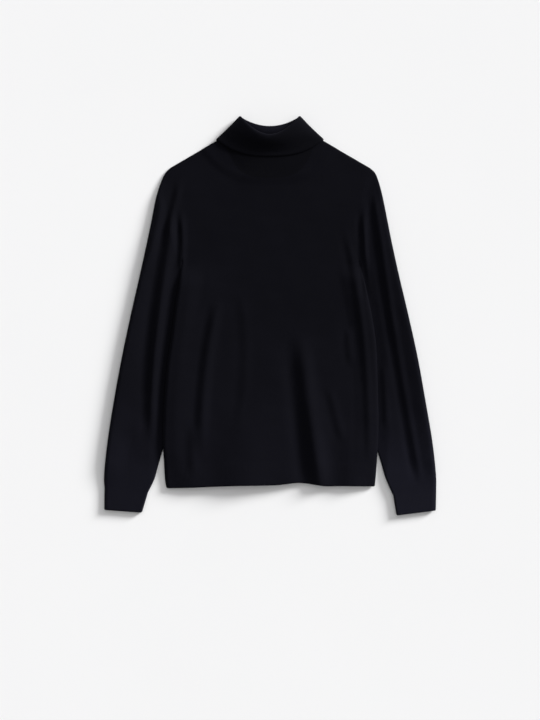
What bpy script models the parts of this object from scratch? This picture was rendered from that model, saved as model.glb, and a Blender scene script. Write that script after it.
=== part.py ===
"""Roll-neck sweater laid flat on a surface, front up.

Frame: X to the viewer's right, Y from the hem towards the collar, Z up from the surface, in metres.
Each knitted piece is one closed wall. A piece starts as a grid of points in plan, stretched between its four
edges; the height of its outer skin comes from functions of the plan, and its inner skin lies one wall inside.
"""
import bpy
import numpy as np
from typing import NamedTuple

# Cloth and seams
WALL = 0.0018           # thickness of the fine-gauge knit
RIB_EXTRA = 0.0004      # how far the rib bands stand proud of the plain knit
SEAM_GAP = 0.0003       # clearance between two pieces sewn to each other
LAYER_GAP = 0.0005      # air between two layers that lie on each other
TWO_LAYERS = 2 * WALL + LAYER_GAP

# Body
HEM_DEPTH = 0.048       # rib band at the hem
UNDERARM_Y = 0.108
NECK_HALF = 0.0905      # half the width of the neck opening, at the high points of the shoulders
NECK_TOP_Y = 0.3603
NECK_SIDE_POWER = 3.4   # the neckline in plan is (x / half) ^ 3.4 + (fall / drop) ^ 1.5 = 1
NECK_FALL_POWER = 1.5
LEAN_AT_NECK = 0.60     # how far the panels' grid lines lean outwards below the neck's high points,
LEAN_AT_TIP = -0.28     # and at the shoulder's tip, where they follow the armhole

# Collar
COLLAR_WALL = 0.0015
TURN_DOWN_SIDE = (0.1078, 0.3528)   # where the turned-down edge passes round the shoulder
TURN_DOWN_BACK_Y = 0.3050
TURN_DOWN_POWER = 2.6
TURN_DOWN_FLAT = 0.016              # half the straight stretch in the middle of its back edge

# Air inside the body
LEAST_AIR = 0.0016
LEFT_SIDE_AIR = 0.0038
RIGHT_SIDE_AIR = 0.0018
BELLY_AIR = 0.0076
HEM_AIR = 0.0086
HEM_AIR_X = -0.050
HEM_AIR_REACH = 0.055
NECK_AIR = 0.0014
NECK_AIR_REACH = 0.075

# Air inside the sleeves and cuffs
SLEEVE_AIR = 0.0036
SLEEVE_OUTER_AIR = 0.0085
CUFF_AIR = 0.0058

# Section of a fold, in fold widths: a ridge to the right of its middle and a shallower trough to the left
RIDGE_PLACE = 0.55
RIDGE_REACH = 0.62
TROUGH_PLACE = -0.50
TROUGH_REACH = 0.60
TROUGH_DEPTH = 0.55      # as a share of the ridge's rise
FADE_PAST_END = 0.020   # how far past its end points a fold still shows
FLATTENED = 0.0012      # softness with which the cloth meets the layer under it

# Rounded edges: reach is seen from above, rise is the height of the seam over the lower layer's underside
SIDE_SEAM_RISE = 0.0036
SHOULDER_SEAM_RISE = 0.0023
SIDE_TURN = 0.0085
BACK_TURN = 0.0052
SHOULDER_TURN = 0.0042
SLEEVE_TURN = 0.0042            # outer edge of the sleeve at the shoulder, and what it gains below
SLEEVE_TURN_GAIN = 0.0050
INNER_TURN = 0.0035
INNER_RISE = 0.0023             # inner edge of the sleeve
OUTER_RISE = 0.0024
OUTER_RISE_GAIN = 0.0066
CUFF_RISE_GAIN = 0.0030
SLEEVE_PASS = 0.0052            # room under the body's side edge for the sleeve's inner edge
COLLAR_PASS = 0.0026            # room under the back panel for the turned-down collar


class Slope(NamedTuple):
    """A smooth step from 0 to 1 that starts at one place and takes a run, which is negative to run down."""
    start: float
    run: float


class Side(NamedTuple):
    """One level of the body: its height along Y and the places of its two side seams."""
    y: float
    left: float
    right: float


class Reach(NamedTuple):
    """One point of an outline in plan."""
    x: float
    y: float


class Fold(NamedTuple):
    """One soft fold that runs down the cloth through three points, low on its left and high on its right."""
    x_top: float
    y_top: float
    x_mid: float
    y_mid: float
    x_low: float
    y_low: float
    width: float
    rise: float
    fade_top: float
    fade_low: float


class Ring(NamedTuple):
    """One ring of the collar's tube, from the neck seam over the fold to the free edge.

    half is its half width, and y and z are the middle of the wall at the side, front and back. bend is the
    radius in which it rounds the side fold. side_power and fall_power shape its dip in plan, and front_turn is
    the angle from the side in which its front reaches full height.
    """
    half: float
    y_side: float
    z_side: float
    bend: float
    y_front: float
    z_front: float
    y_back: float
    z_back: float
    side_power: float
    fall_power: float
    front_turn: float


class Panel(NamedTuple):
    """The front or the back: the depth of its neckline, the grid spans along it and how much it is shorter."""
    name: str
    front: bool
    neck_drop: float
    neck_spans: int
    shorter: float
    rib_extra: float


FRONT = Panel("front", True, 0.0843, 18, 0.0, RIB_EXTRA)
BACK = Panel("back", False, 0.0180, 12, 0.0020, 0.0)

SIDES = (
    Side(-0.3490, -0.2070, 0.2098),
    Side(-0.3282, -0.2104, 0.2118),
    Side(-0.3000, -0.2120, 0.2140),
    Side(-0.2582, -0.2142, 0.2164),
    Side(-0.2082, -0.2132, 0.2176),
    Side(-0.1682, -0.2112, 0.2168),
    Side(-0.1282, -0.2082, 0.2158),
    Side(-0.0882, -0.2042, 0.2146),
    Side(-0.0482, -0.1982, 0.2118),
    Side(-0.0082, -0.1928, 0.2058),
    Side(0.0318, -0.1876, 0.1978),
    Side(0.0718, -0.1812, 0.1888),
    Side(UNDERARM_Y, -0.1772, 0.1798),
)
ARMHOLES = (
    Side(UNDERARM_Y, -0.1772, 0.1798),
    Side(0.1418, -0.1782, 0.1780),
    Side(0.1818, -0.1802, 0.1788),
    Side(0.2218, -0.1842, 0.1826),
    Side(0.2618, -0.1918, 0.1898),
    Side(0.2963, -0.2002, 0.2008),
)
HEM_LINE = (
    Reach(-0.2070, -0.3465), Reach(-0.1602, -0.3452), Reach(-0.1002, -0.3426), Reach(-0.0522, -0.3408),
    Reach(0.0078, -0.3402), Reach(0.0318, -0.3380), Reach(0.0588, -0.3356), Reach(0.0918, -0.3396),
    Reach(0.1158, -0.3422), Reach(0.1518, -0.3418), Reach(0.2098, -0.3430),
)
OUTER_LEFT = (
    Reach(-0.2086, 0.2878), Reach(-0.2152, 0.2758), Reach(-0.2222, 0.2578), Reach(-0.2295, 0.2318),
    Reach(-0.2371, 0.1918), Reach(-0.2452, 0.1518), Reach(-0.2539, 0.1118), Reach(-0.2628, 0.0718),
    Reach(-0.2809, -0.0082), Reach(-0.2976, -0.0882), Reach(-0.3122, -0.1682), Reach(-0.3248, -0.2482),
    Reach(-0.3324, -0.3182), Reach(-0.3316, -0.3482),
)
OUTER_RIGHT = (
    Reach(0.2102, 0.2878), Reach(0.2160, 0.2758), Reach(0.2216, 0.2578), Reach(0.2276, 0.2318),
    Reach(0.2354, 0.1918), Reach(0.2432, 0.1518), Reach(0.2518, 0.1118), Reach(0.2608, 0.0718),
    Reach(0.2797, -0.0082), Reach(0.2971, -0.0882), Reach(0.3114, -0.1682), Reach(0.3250, -0.2482),
    Reach(0.3330, -0.3182), Reach(0.3336, -0.3522),
)
INNER_LEFT = (
    Reach(-0.1789, 0.0930), Reach(-0.1800, 0.0780), Reach(-0.1805, 0.0600), Reach(-0.1795, 0.0330),
    Reach(-0.1850, -0.0182),
    Reach(-0.1945, -0.0882), Reach(-0.2010, -0.1582), Reach(-0.2048, -0.2182), Reach(-0.2120, -0.2582),
    Reach(-0.2236, -0.2982), Reach(-0.2318, -0.3282), Reach(-0.2452, -0.3562),
)
INNER_RIGHT = (
    Reach(0.1842, 0.0945), Reach(0.1874, 0.0790), Reach(0.1888, 0.0600), Reach(0.1893, 0.0330),
    Reach(0.1970, -0.0182),
    Reach(0.2050, -0.0882), Reach(0.2072, -0.1582), Reach(0.2085, -0.2182), Reach(0.2126, -0.2582),
    Reach(0.2238, -0.2982), Reach(0.2328, -0.3282), Reach(0.2478, -0.3622),
)
CUFF_END_LEFT = (Reach(-0.3322, -0.3898), Reach(-0.2568, -0.3954))
CUFF_END_RIGHT = (Reach(0.3328, -0.3912), Reach(0.2542, -0.4010))

BODY_FOLDS = (
    Fold(0.0500, -0.0450, 0.0655, -0.1900, 0.0922, -0.3800, 0.026, 0.0074, 0.090, 0.110),
    Fold(0.0690, -0.1700, 0.0790, -0.2600, 0.0933, -0.3800, 0.034, 0.0036, 0.120, 0.110),
    Fold(0.1440, -0.2200, 0.1460, -0.2900, 0.1480, -0.3800, 0.045, 0.0036, 0.120, 0.0),
    Fold(-0.1140, 0.0200, -0.1310, -0.0700, -0.1440, -0.2900, 0.017, 0.0042, 0.060, 0.120),
    Fold(0.1480, 0.1650, 0.1790, -0.0200, 0.1935, -0.2900, 0.012, 0.0018, 0.070, 0.060),
    Fold(0.1160, -0.1600, 0.1260, -0.2000, 0.1360, -0.2400, 0.014, 0.0016, 0.030, 0.030),
    Fold(-0.0640, 0.0320, -0.0560, -0.0480, -0.0720, -0.2280, 0.016, 0.0012, 0.050, 0.080),
    Fold(-0.1600, -0.2300, -0.1610, -0.2600, -0.1600, -0.3100, 0.016, 0.0018, 0.030, 0.040),
    Fold(0.1530, -0.0400, 0.1545, -0.0650, 0.1570, -0.0900, 0.012, 0.0016, 0.020, 0.030),
)
ARMHOLE_FOLDS = (
    Fold(-0.1830, 0.2000, -0.1806, 0.1400, -0.1850, 0.0900, 0.011, 0.0036, 0.050, 0.040),
    Fold(-0.1880, 0.2600, -0.2015, 0.2000, -0.2130, 0.1500, 0.012, 0.0026, 0.040, 0.060),
    Fold(0.1800, 0.2200, 0.1805, 0.1400, 0.1870, 0.0550, 0.010, 0.0034, 0.050, 0.050),
)
SLEEVE_FOLDS = (
    Fold(-0.1880, 0.2500, -0.2225, 0.0700, -0.2420, -0.2500, 0.020, 0.0070, 0.110, 0.090),
    Fold(-0.2245, 0.2300, -0.2340, 0.1640, -0.2500, 0.1050, 0.013, 0.0040, 0.040, 0.050),
    Fold(0.2010, 0.2500, 0.2262, 0.1000, 0.2450, -0.0300, 0.012, 0.0026, 0.060, 0.060),
    Fold(0.2400, 0.0000, 0.2630, -0.1500, 0.3050, -0.3850, 0.0125, 0.0028, 0.060, 0.030),
    Fold(0.2190, -0.1100, 0.2230, -0.1600, 0.2250, -0.2100, 0.012, 0.0022, 0.030, 0.030),
)
COLLAR_RINGS = (
    Ring(0.0864, 0.3590, 0.0056, 0.0013, 0.2770, 0.0086, 0.3436, 0.0040, 3.4, 1.50, 30),
    Ring(0.0834, 0.3646, 0.0058, 0.0013, 0.2930, 0.0094, 0.3482, 0.0050, 3.1, 1.40, 34),
    Ring(0.0795, 0.3715, 0.0060, 0.0013, 0.3120, 0.0105, 0.3540, 0.0066, 2.8, 1.25, 38),
    Ring(0.0728, 0.3800, 0.0062, 0.0013, 0.3296, 0.0124, 0.3610, 0.0086, 2.4, 1.10, 46),
    Ring(0.0655, 0.3875, 0.0064, 0.0013, 0.3446, 0.0166, 0.3680, 0.0102, 2.0, 1.00, 60),
    Ring(0.0600, 0.3930, 0.0067, 0.0013, 0.3545, 0.0224, 0.3736, 0.0102, 2.0, 1.00, 80),
    Ring(0.0582, 0.3960, 0.0068, 0.0013, 0.3594, 0.0280, 0.3772, 0.0092, 2.0, 1.00, 90),
    Ring(0.0602, 0.3984, 0.0066, 0.0025, 0.3580, 0.0318, 0.3790, 0.0070, 2.0, 1.00, 90),
    Ring(0.0646, 0.3944, 0.0062, 0.0035, 0.3516, 0.0314, 0.3762, 0.0046, 2.0, 1.00, 80),
    Ring(0.0744, 0.3842, 0.0058, 0.0035, 0.3438, 0.0270, 0.3690, 0.0028, 2.1, 1.00, 60),
    Ring(0.0862, 0.3726, 0.0052, 0.0036, 0.3356, 0.0204, 0.3560, 0.0013, 2.2, 1.00, 44),
    Ring(0.0972, 0.3624, 0.0047, 0.0036, 0.3272, 0.0152, 0.3400, 0.0009, 2.4, 1.00, 32),
    Ring(0.1078, 0.3528, 0.0044, 0.0036, 0.3186, 0.0131, 0.3050, 0.0009, 2.6, 1.00, 26),
)

# Where heights come and go: y is a level, gap a distance from the body's side edge or the sleeve's edge
PASS_BELOW_ARM = Slope(0.104, -0.040)       # y
PASS_ABOVE_HEM = Slope(-0.330, 0.070)       # y
PASS_NEAR_SIDE = Slope(0.052, -0.033)       # gap
PASS_ON_COLLAR = Slope(-0.046, 0.022)       # distance above the collar's turned-down back edge
BELOW_ARM = Slope(UNDERARM_Y, -0.060)       # y
NEAR_SIDE = Slope(0.050, -0.050)            # gap
WIDE_OF_SIDE = Slope(0.120, -0.120)         # gap
OFF_SIDE = Slope(0.0, 0.060)                # gap
TOWARDS_HEM = Slope(0.0, -0.250)            # y
LOW_BODY = Slope(-0.140, -0.200)            # y
BELOW_COLLAR = Slope(0.190, 0.090)          # y
TUCKS_UNDER = Slope(0.140, -0.060)          # y
ABOVE_CUFF = Slope(-0.345, 0.060)           # y
SLEEVE_GROWS = Slope(0.0, 0.24)             # share of the sleeve's length
SLEEVE_JOINS = Slope(0.0, 0.10)             # share of the sleeve's length
TIP_ENDS = Slope(0.12, -0.12)               # share of the sleeve's length
CUFF_STARTS = Slope(0.80, 0.20)             # share of the sleeve's length
COLLAR_BACK_RISES = Slope(0.060, -0.050)    # distance from the middle
FREE_OF_BODY = (Slope(0.005, 0.026), Slope(0.0, 0.024))     # gap out of the left and right side edge

# Grid lines, as distances from an edge
SIDE_STEPS = (0.0, 0.0011, 0.0031, 0.0058, 0.0085)
SHOULDER_STEPS = (0.0, 0.0006, 0.0016, 0.0029, 0.0042)
UNDERARM_STEPS = (0.0, 0.0012, 0.0035)
ARMPIT_STEPS = (0.0360, 0.0220, 0.0100)
SIDE_FOLD_STEPS = (0.0, 0.0006, 0.0016, 0.0034, 0.0070, 0.0130)
ARMHOLE_SPANS = 9
SHOULDER_SPANS = 4
SIDE_SPANS = 12
HEM_SPANS = 3
CUFF_SPANS = 3
SLEEVE_RINGS = 23
COLLAR_SPANS = 6
PATH_STEPS = 16         # straight steps between two points of a path
LINE_POINTS = 721       # fine points along a curve, from which the grid lines are picked

COLOURS = {
    "panel": (0.0060, 0.0058, 0.0085),
    "rib": (0.0070, 0.0066, 0.0095),
}
ROUGHNESS = 0.9


def ease(value):
    """0 below 0, 1 above 1, and a smooth s-curve between."""
    share = np.clip(value, 0.0, 1.0)
    return share * share * (3.0 - 2.0 * share)


def along_slope(slope, value):
    """How far a smooth step has come at a value."""
    return ease((value - slope.start) / slope.run)


def bump(distance, reach):
    """A soft hill, 1 at its middle and falling off over the reach."""
    return np.exp(-(distance / reach) ** 2)


def never_below_zero(height):
    """Height, eased so that it never falls below 0."""
    return 0.5 * (height + np.sqrt(height * height + FLATTENED * FLATTENED))


def run_shares(line):
    """Share of a line's whole length at each of its points."""
    along = np.concatenate([[0], np.cumsum(np.linalg.norm(np.diff(line, axis=0), axis=1))])
    return along / along[-1]


class Path:
    """A smooth curve in plan through a few points, kept as many short straight steps."""

    def __init__(self, points, inside):
        """inside is +1 where the cloth lies to the left of the way the points run, and -1 to the right."""
        knots = np.array(points, float)
        before = np.vstack([2 * knots[0] - knots[1], knots[:-1]])
        after = np.vstack([knots[1:], 2 * knots[-1] - knots[-2]])
        slopes = (after - before) / 2
        share = np.linspace(0, 1, PATH_STEPS, endpoint=False)[None, :, None]
        start, end = knots[:-1, None], knots[1:, None]
        curve = cubic(start, end, slopes[:-1, None], slopes[1:, None], share)
        self.points = np.vstack([curve.reshape(-1, 2), knots[-1:]])
        self.runs = np.diff(self.points, axis=0)
        lengths = np.linalg.norm(self.runs, axis=1)
        self.along = np.concatenate([[0.0], np.cumsum(lengths)])
        self.length = self.along[-1]
        self.normals = inside * np.column_stack([-self.runs[:, 1], self.runs[:, 0]]) / lengths[:, None]

    def at(self, distances):
        """Points at the given distances along the curve."""
        return np.column_stack([np.interp(distances, self.along, self.points[:, k]) for k in (0, 1)])

    def x_at(self, y):
        """The curve's x at height y, for a curve that only climbs or only falls."""
        order = np.argsort(self.points[:, 1])
        return np.interp(y, self.points[order, 1], self.points[order, 0])

    def y_at(self, x):
        """The curve's y at x, for a curve that runs to the right."""
        return np.interp(x, self.points[:, 0], self.points[:, 1])

    def nearest(self, plan):
        """Distance from each plan point to the curve, and the inward direction there."""
        spot = plan.reshape(-1, 1, 2)
        share = np.sum((spot - self.points[:-1]) * self.runs, axis=2) / np.sum(self.runs**2, axis=1)
        foot = self.points[:-1] + np.clip(share, 0, 1)[..., None] * self.runs
        away = np.linalg.norm(spot - foot, axis=2)
        best = np.argmin(away, axis=1)
        shape = plan.shape[:-1]
        return away[np.arange(len(best)), best].reshape(shape), self.normals[best].reshape(shape + (2,))


def cubic(start, end, leave, arrive, share):
    """The cubic curve from start to end that leaves and arrives with the given slopes."""
    return ((2 * share**3 - 3 * share**2 + 1) * start + (share**3 - 2 * share**2 + share) * leave
            + (3 * share**2 - 2 * share**3) * end + (share**3 - share**2) * arrive)


SIDE_LEFT = Path([(row.left, row.y) for row in SIDES], inside=-1)
SIDE_RIGHT = Path([(row.right, row.y) for row in SIDES], inside=1)
ARMHOLE_LEFT = Path([(row.left, row.y) for row in ARMHOLES], inside=-1)
ARMHOLE_RIGHT = Path([(row.right, row.y) for row in ARMHOLES], inside=1)
SHOULDER_LEFT = Path([(ARMHOLES[-1].left, ARMHOLES[-1].y), (-NECK_HALF, NECK_TOP_Y)], inside=-1)
SHOULDER_RIGHT = Path([(ARMHOLES[-1].right, ARMHOLES[-1].y), (NECK_HALF, NECK_TOP_Y)], inside=1)
HEM_EDGE = Path(HEM_LINE, inside=1)


def fold_heights(plan, folds):
    """Sum of the folds: each is a trough beside a ridge, faded out at its two ends."""
    x, y = plan[..., 0], plan[..., 1]
    total = np.zeros(x.shape)
    for fold in folds:
        top, mid, low = fold.y_top, fold.y_mid, fold.y_low
        centre = (fold.x_top * (y - mid) * (y - low) / ((top - mid) * (top - low))
                  + fold.x_mid * (y - top) * (y - low) / ((mid - top) * (mid - low))
                  + fold.x_low * (y - top) * (y - mid) / ((low - top) * (low - mid)))
        across = (x - centre) / fold.width
        ridge = bump(across - RIDGE_PLACE, RIDGE_REACH)
        trough = TROUGH_DEPTH * bump(across - TROUGH_PLACE, TROUGH_REACH)
        fade = ease((top + FADE_PAST_END - y) / fold.fade_top)
        if fold.fade_low:
            fade = fade * ease((y - low + FADE_PAST_END) / fold.fade_low)
        total += fold.rise * (ridge - trough) * fade
    return total


def gap_to_side(plan):
    """Distance along X from each plan point to the nearer side edge of the body."""
    x, y = plan[..., 0], plan[..., 1]
    return np.minimum(x - SIDE_LEFT.x_at(y), SIDE_RIGHT.x_at(y) - x)


def lift_under(plan):
    """How far the back panel's underside is off the surface: over the sleeves' edges and over the collar."""
    x, y = plan[..., 0], plan[..., 1]
    along = along_slope(PASS_BELOW_ARM, y) * along_slope(PASS_ABOVE_HEM, y)
    over_sleeve = SLEEVE_PASS * along_slope(PASS_NEAR_SIDE, gap_to_side(plan)) * along
    side_x, side_y = TURN_DOWN_SIDE
    across = np.maximum(np.abs(x) - TURN_DOWN_FLAT, 0) / side_x
    edge = side_y + (TURN_DOWN_BACK_Y - side_y) * (1 - across**TURN_DOWN_POWER)
    over_collar = COLLAR_PASS * along_slope(PASS_ON_COLLAR, y - edge)
    return np.maximum(over_sleeve, over_collar)


def body_air(plan):
    """Air under the front panel: a little on the chest, and more towards the hem and the side edges."""
    x, y = plan[..., 0], plan[..., 1]
    from_left, from_right = x - SIDE_LEFT.x_at(y), SIDE_RIGHT.x_at(y) - x
    near = (LEFT_SIDE_AIR * along_slope(WIDE_OF_SIDE, from_left)
            + RIGHT_SIDE_AIR * along_slope(NEAR_SIDE, from_right))
    side = near * along_slope(BELOW_ARM, y)
    belly = BELLY_AIR * along_slope(TOWARDS_HEM, y) * along_slope(OFF_SIDE, np.minimum(from_left, from_right))
    hem = HEM_AIR * bump(x - HEM_AIR_X, HEM_AIR_REACH) * along_slope(LOW_BODY, y)
    neck = NECK_AIR * bump(x, NECK_AIR_REACH) * along_slope(BELOW_COLLAR, y)
    folds = fold_heights(plan, BODY_FOLDS + ARMHOLE_FOLDS)
    return never_below_zero(LEAST_AIR + side + belly + hem + neck + folds)


def lean(plan):
    """Direction in which a panel runs away from its top edge at the plan points: outwards below the neck, and
    along the armhole at the shoulder's tip."""
    x = plan[..., 0]
    below_neck = np.minimum(np.abs(x) / NECK_HALF, 1)
    along_shoulder = np.clip((np.abs(x) - NECK_HALF) / (ARMHOLES[-1].right - NECK_HALF), 0, 1)
    outwards = LEAN_AT_NECK * below_neck + (LEAN_AT_TIP - LEAN_AT_NECK) * along_shoulder
    direction = np.stack([np.sign(x) * outwards, -np.ones(x.shape)], axis=-1)
    return direction / np.linalg.norm(direction, axis=-1, keepdims=True)


def body_skin(plan, front, extra=0.0):
    """Outer skin of the front or back at the plan points, and the step from it to the inner skin.

    Within reach a of a free edge the skin rounds off as a quarter ellipse: with d the distance to the edge and
    cos t = 1 - d / a, it stands at seam + (full - seam) sin t, and the wall's inner side is one wall away at
    the angle t.
    """
    under = lift_under(plan)
    full = under + TWO_LAYERS + body_air(plan) + extra if front else under
    turn = np.full(under.shape, -1.0)
    inward = np.zeros(plan.shape)
    seam = under + SIDE_SEAM_RISE
    side_reach = SIDE_TURN if front else BACK_TURN
    edges = ((SIDE_LEFT, side_reach, SIDE_SEAM_RISE), (SIDE_RIGHT, side_reach, SIDE_SEAM_RISE),
             (SHOULDER_LEFT, SHOULDER_TURN, SHOULDER_SEAM_RISE),
             (SHOULDER_RIGHT, SHOULDER_TURN, SHOULDER_SEAM_RISE))
    for path, reach, rise in edges:
        distance, direction = path.nearest(plan)
        if rise == SHOULDER_SEAM_RISE:
            direction = lean(plan)
        nearness = 1 - distance / reach
        closer = nearness > turn
        turn = np.where(closer, nearness, turn)
        inward = np.where(closer[..., None], direction, inward)
        seam = np.where(closer, under + rise, seam)
    level = np.clip(turn, 0, 1)
    steep = np.sqrt(1 - level * level)
    start = seam + (SEAM_GAP / 2 if front else -SEAM_GAP / 2)
    height = start + (full - start) * steep
    wall = WALL + extra
    step = np.dstack([wall * level * inward[..., 0], wall * level * inward[..., 1],
                      (-wall if front else wall) * steep])
    return np.dstack([plan, height]), step


def neck_line(panel):
    """The neckline in plan, as points at equal steps along it from left to right."""
    across = -NECK_HALF * np.cos(np.linspace(0, np.pi, LINE_POINTS))
    fall = np.clip(1 - np.abs(across / NECK_HALF)**NECK_SIDE_POWER, 0, 1)**(1 / NECK_FALL_POWER)
    line = np.column_stack([across, NECK_TOP_Y - panel.neck_drop * fall])
    share = np.linspace(0, 1, panel.neck_spans + 1)
    return np.column_stack([np.interp(share, run_shares(line), line[:, k]) for k in (0, 1)])


def shoulder_steps(path):
    """Distances of the grid lines along a shoulder, from its tip to the neck."""
    inner = np.linspace(SHOULDER_STEPS[-1], path.length, SHOULDER_SPANS + 1)[1:]
    return np.concatenate([SHOULDER_STEPS, inner])


def armhole_points(path):
    """Grid points up an armhole, from the underarm to the shoulder tip."""
    close = path.length - np.array(SHOULDER_STEPS[::-1])
    middle = np.linspace(UNDERARM_STEPS[-1], close[0], ARMHOLE_SPANS + 1)[1:-1]
    return path.at(np.concatenate([UNDERARM_STEPS, middle, close]))


def top_edge(panel):
    """Top of a panel from the left shoulder tip, round the neckline, to the right shoulder tip."""
    left = SHOULDER_LEFT.at(shoulder_steps(SHOULDER_LEFT))
    right = SHOULDER_RIGHT.at(shoulder_steps(SHOULDER_RIGHT))[::-1]
    return np.vstack([left[:-1], neck_line(panel), right[1:]])


def hem_points(panel, rise):
    """Points along the hem, rise above its edge, one for each grid line that comes down from the top."""
    along = run_shares(top_edge(panel))
    close = len(SIDE_STEPS)
    left, right = HEM_EDGE.points[0, 0], HEM_EDGE.points[-1, 0]
    inner = np.interp(along[close:-close], (along[close - 1], along[-close]),
                      (left + SIDE_STEPS[-1], right - SIDE_STEPS[-1]))
    x = np.concatenate([left + np.array(SIDE_STEPS), inner, right - np.array(SIDE_STEPS[::-1])])
    y = HEM_EDGE.y_at(x) + rise
    side_left, side_right = SIDE_LEFT.x_at(y[0]), SIDE_RIGHT.x_at(y[-1])
    x = side_left + (x - left) * (side_right - side_left) / (right - left)
    return np.column_stack([x, y])


def side_points(path, armhole, low):
    """Grid points up one side of a panel, from the hem rib to the underarm and on up the armhole."""
    below_arm = UNDERARM_Y - np.array(ARMPIT_STEPS)
    y = np.concatenate([np.linspace(low, below_arm[0], SIDE_SPANS + 1)[:-1], below_arm])
    return np.vstack([np.column_stack([path.x_at(y), y]), armhole_points(armhole)])


def panel_plan(panel):
    """Plan grid of a panel, from the hem rib's top up to the shoulders and neck.

    Each grid line is a cubic that leaves the top edge along its lean and arrives straight down at the rib. The
    two outermost are then drawn onto the sides, and the others follow them in proportion.
    """
    bottom = hem_points(panel, HEM_DEPTH + panel.shorter)
    top = top_edge(panel)
    left = side_points(SIDE_LEFT, ARMHOLE_LEFT, bottom[0, 1])
    right = side_points(SIDE_RIGHT, ARMHOLE_RIGHT, bottom[-1, 1])
    u = ((run_shares(bottom) + run_shares(top)) / 2)[None, :, None]
    v = ((run_shares(left) + run_shares(right)) / 2)[:, None, None]
    length = np.linalg.norm(top - bottom, axis=1)[:, None]
    plan = cubic(bottom, top, length * np.array([0.0, 1.0]), -length * lean(top), v)
    return plan + (1 - u) * (left[:, None] - plan[:, :1]) + u * (right[:, None] - plan[:, -1:])


def hem_plan(panel):
    """Plan grid of one half of the hem rib."""
    levels = np.linspace(panel.shorter, HEM_DEPTH + panel.shorter - SEAM_GAP, HEM_SPANS + 1)
    return np.stack([hem_points(panel, level) for level in levels])


def stretched(bottom, top, left, right):
    """Plan grid stretched between four edges: the two ruled surfaces between facing edges, less the one
    between the four corners."""
    u = ((run_shares(bottom) + run_shares(top)) / 2)[None, :, None]
    v = ((run_shares(left) + run_shares(right)) / 2)[:, None, None]
    rows = (1 - v) * bottom[None] + v * top[None]
    columns = (1 - u) * left[:, None] + u * right[:, None]
    corners = ((1 - u) * (1 - v) * bottom[0] + u * (1 - v) * bottom[-1]
               + (1 - u) * v * top[0] + u * v * top[-1])
    return rows + columns - corners


def sleeve_plan(armhole, outer, inner, cuff_end):
    """Plan grids of a sleeve and of its cuff, each row from the outer edge to the inner edge, and their
    edges."""
    sign = np.sign(armhole.points[0, 0])
    top = armhole_points(armhole)[::-1] + (sign * SEAM_GAP, 0.0)
    outer_path = Path([top[0], *outer], inside=-sign)
    inner_path = Path([top[-1], *inner], inside=sign)
    share = np.linspace(0, 1, SLEEVE_RINGS)
    outer_points = outer_path.at(share * outer_path.length)
    inner_points = inner_path.at(share * inner_path.length)
    plan = stretched(top, cuff_line(outer_points[-1], inner_points[-1]), outer_points, inner_points)
    ends = np.array(cuff_end)
    start = SEAM_GAP / np.linalg.norm(ends[0] - outer_points[-1])
    run = np.linspace(start, 1, CUFF_SPANS + 1)[:, None]
    outer_side = outer_points[-1] + run * (ends[0] - outer_points[-1])
    inner_side = inner_points[-1] + run * (ends[1] - inner_points[-1])
    cuff = np.stack([cuff_line(a, b) for a, b in zip(outer_side, inner_side)])
    cuff_paths = Path([outer_points[-1], ends[0]], inside=-sign), Path([inner_points[-1], ends[1]], inside=sign)
    return plan, cuff, (outer_path, inner_path), cuff_paths


def cuff_line(outer, inner):
    """A straight row across a sleeve, with its points close together at both edges."""
    width = np.linalg.norm(inner - outer)
    near, far = np.array(SIDE_STEPS), np.array(UNDERARM_STEPS)
    middle = np.linspace(near[-1], width - far[-1], ARMHOLE_SPANS + 1)[1:-1]
    distance = np.concatenate([near, middle, (width - far)[::-1]])
    return outer + (distance / width)[:, None] * (inner - outer)


def sleeve_skin(plan, share, outer_path, inner_path, extra=0.0):
    """Upper skin, lower skin and their steps inwards, for a flat tube between its outer and inner edge.

    share is 0 at the armhole and 1 at the cuff. The inner edge is thin where it passes under the body.
    """
    y = plan[..., 1]
    from_outer, outward = outer_path.nearest(plan)
    from_inner, inward = inner_path.nearest(plan)
    grown = along_slope(SLEEVE_GROWS, share)
    sleeve = along_slope(ABOVE_CUFF, y)
    tucked = along_slope(TUCKS_UNDER, y)
    out_of_body = FREE_OF_BODY[int(plan[0, 0, 0] > 0)]
    free = 1 - tucked + tucked * along_slope(out_of_body, -gap_to_side(plan))
    air = (SLEEVE_AIR + SLEEVE_OUTER_AIR * grown * along_slope(NEAR_SIDE, from_outer)
           + fold_heights(plan, SLEEVE_FOLDS + ARMHOLE_FOLDS))
    full = TWO_LAYERS + free * (never_below_zero(air) * sleeve + CUFF_AIR * (1 - sleeve))
    outer_turn = np.clip(1 - from_outer / (SLEEVE_TURN + SLEEVE_TURN_GAIN * grown), 0, 1)
    inner_turn = np.clip(1 - from_inner / INNER_TURN, 0, 1)
    level = np.maximum(outer_turn, inner_turn)
    steep = np.sqrt(1 - level * level)
    outer_rise = OUTER_RISE + OUTER_RISE_GAIN * grown * sleeve + CUFF_RISE_GAIN * (1 - sleeve)
    side = ease(from_inner / (from_inner + from_outer))
    seam = INNER_RISE + (outer_rise - INNER_RISE) * side
    wall = WALL + extra
    across = plan[:, -1:] - plan[:, :1]
    across = across / np.linalg.norm(across, axis=2, keepdims=True)
    at_ends = np.maximum(along_slope(CUFF_STARTS, share), along_slope(TIP_ENDS, share))[..., None]
    outward = outward + at_ends * (across - outward)
    inward = inward - at_ends * (across + inward)
    flat = wall * (outer_turn[..., None] * outward + inner_turn[..., None] * inward)
    upper = np.dstack([plan, seam + (full + extra - seam) * steep])
    lower = np.dstack([plan, seam * (1 - steep)])
    upper_step = np.dstack([flat, -wall * steep])
    lower_step = np.dstack([flat, wall * steep])
    return upper, lower, upper_step, lower_step


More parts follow.
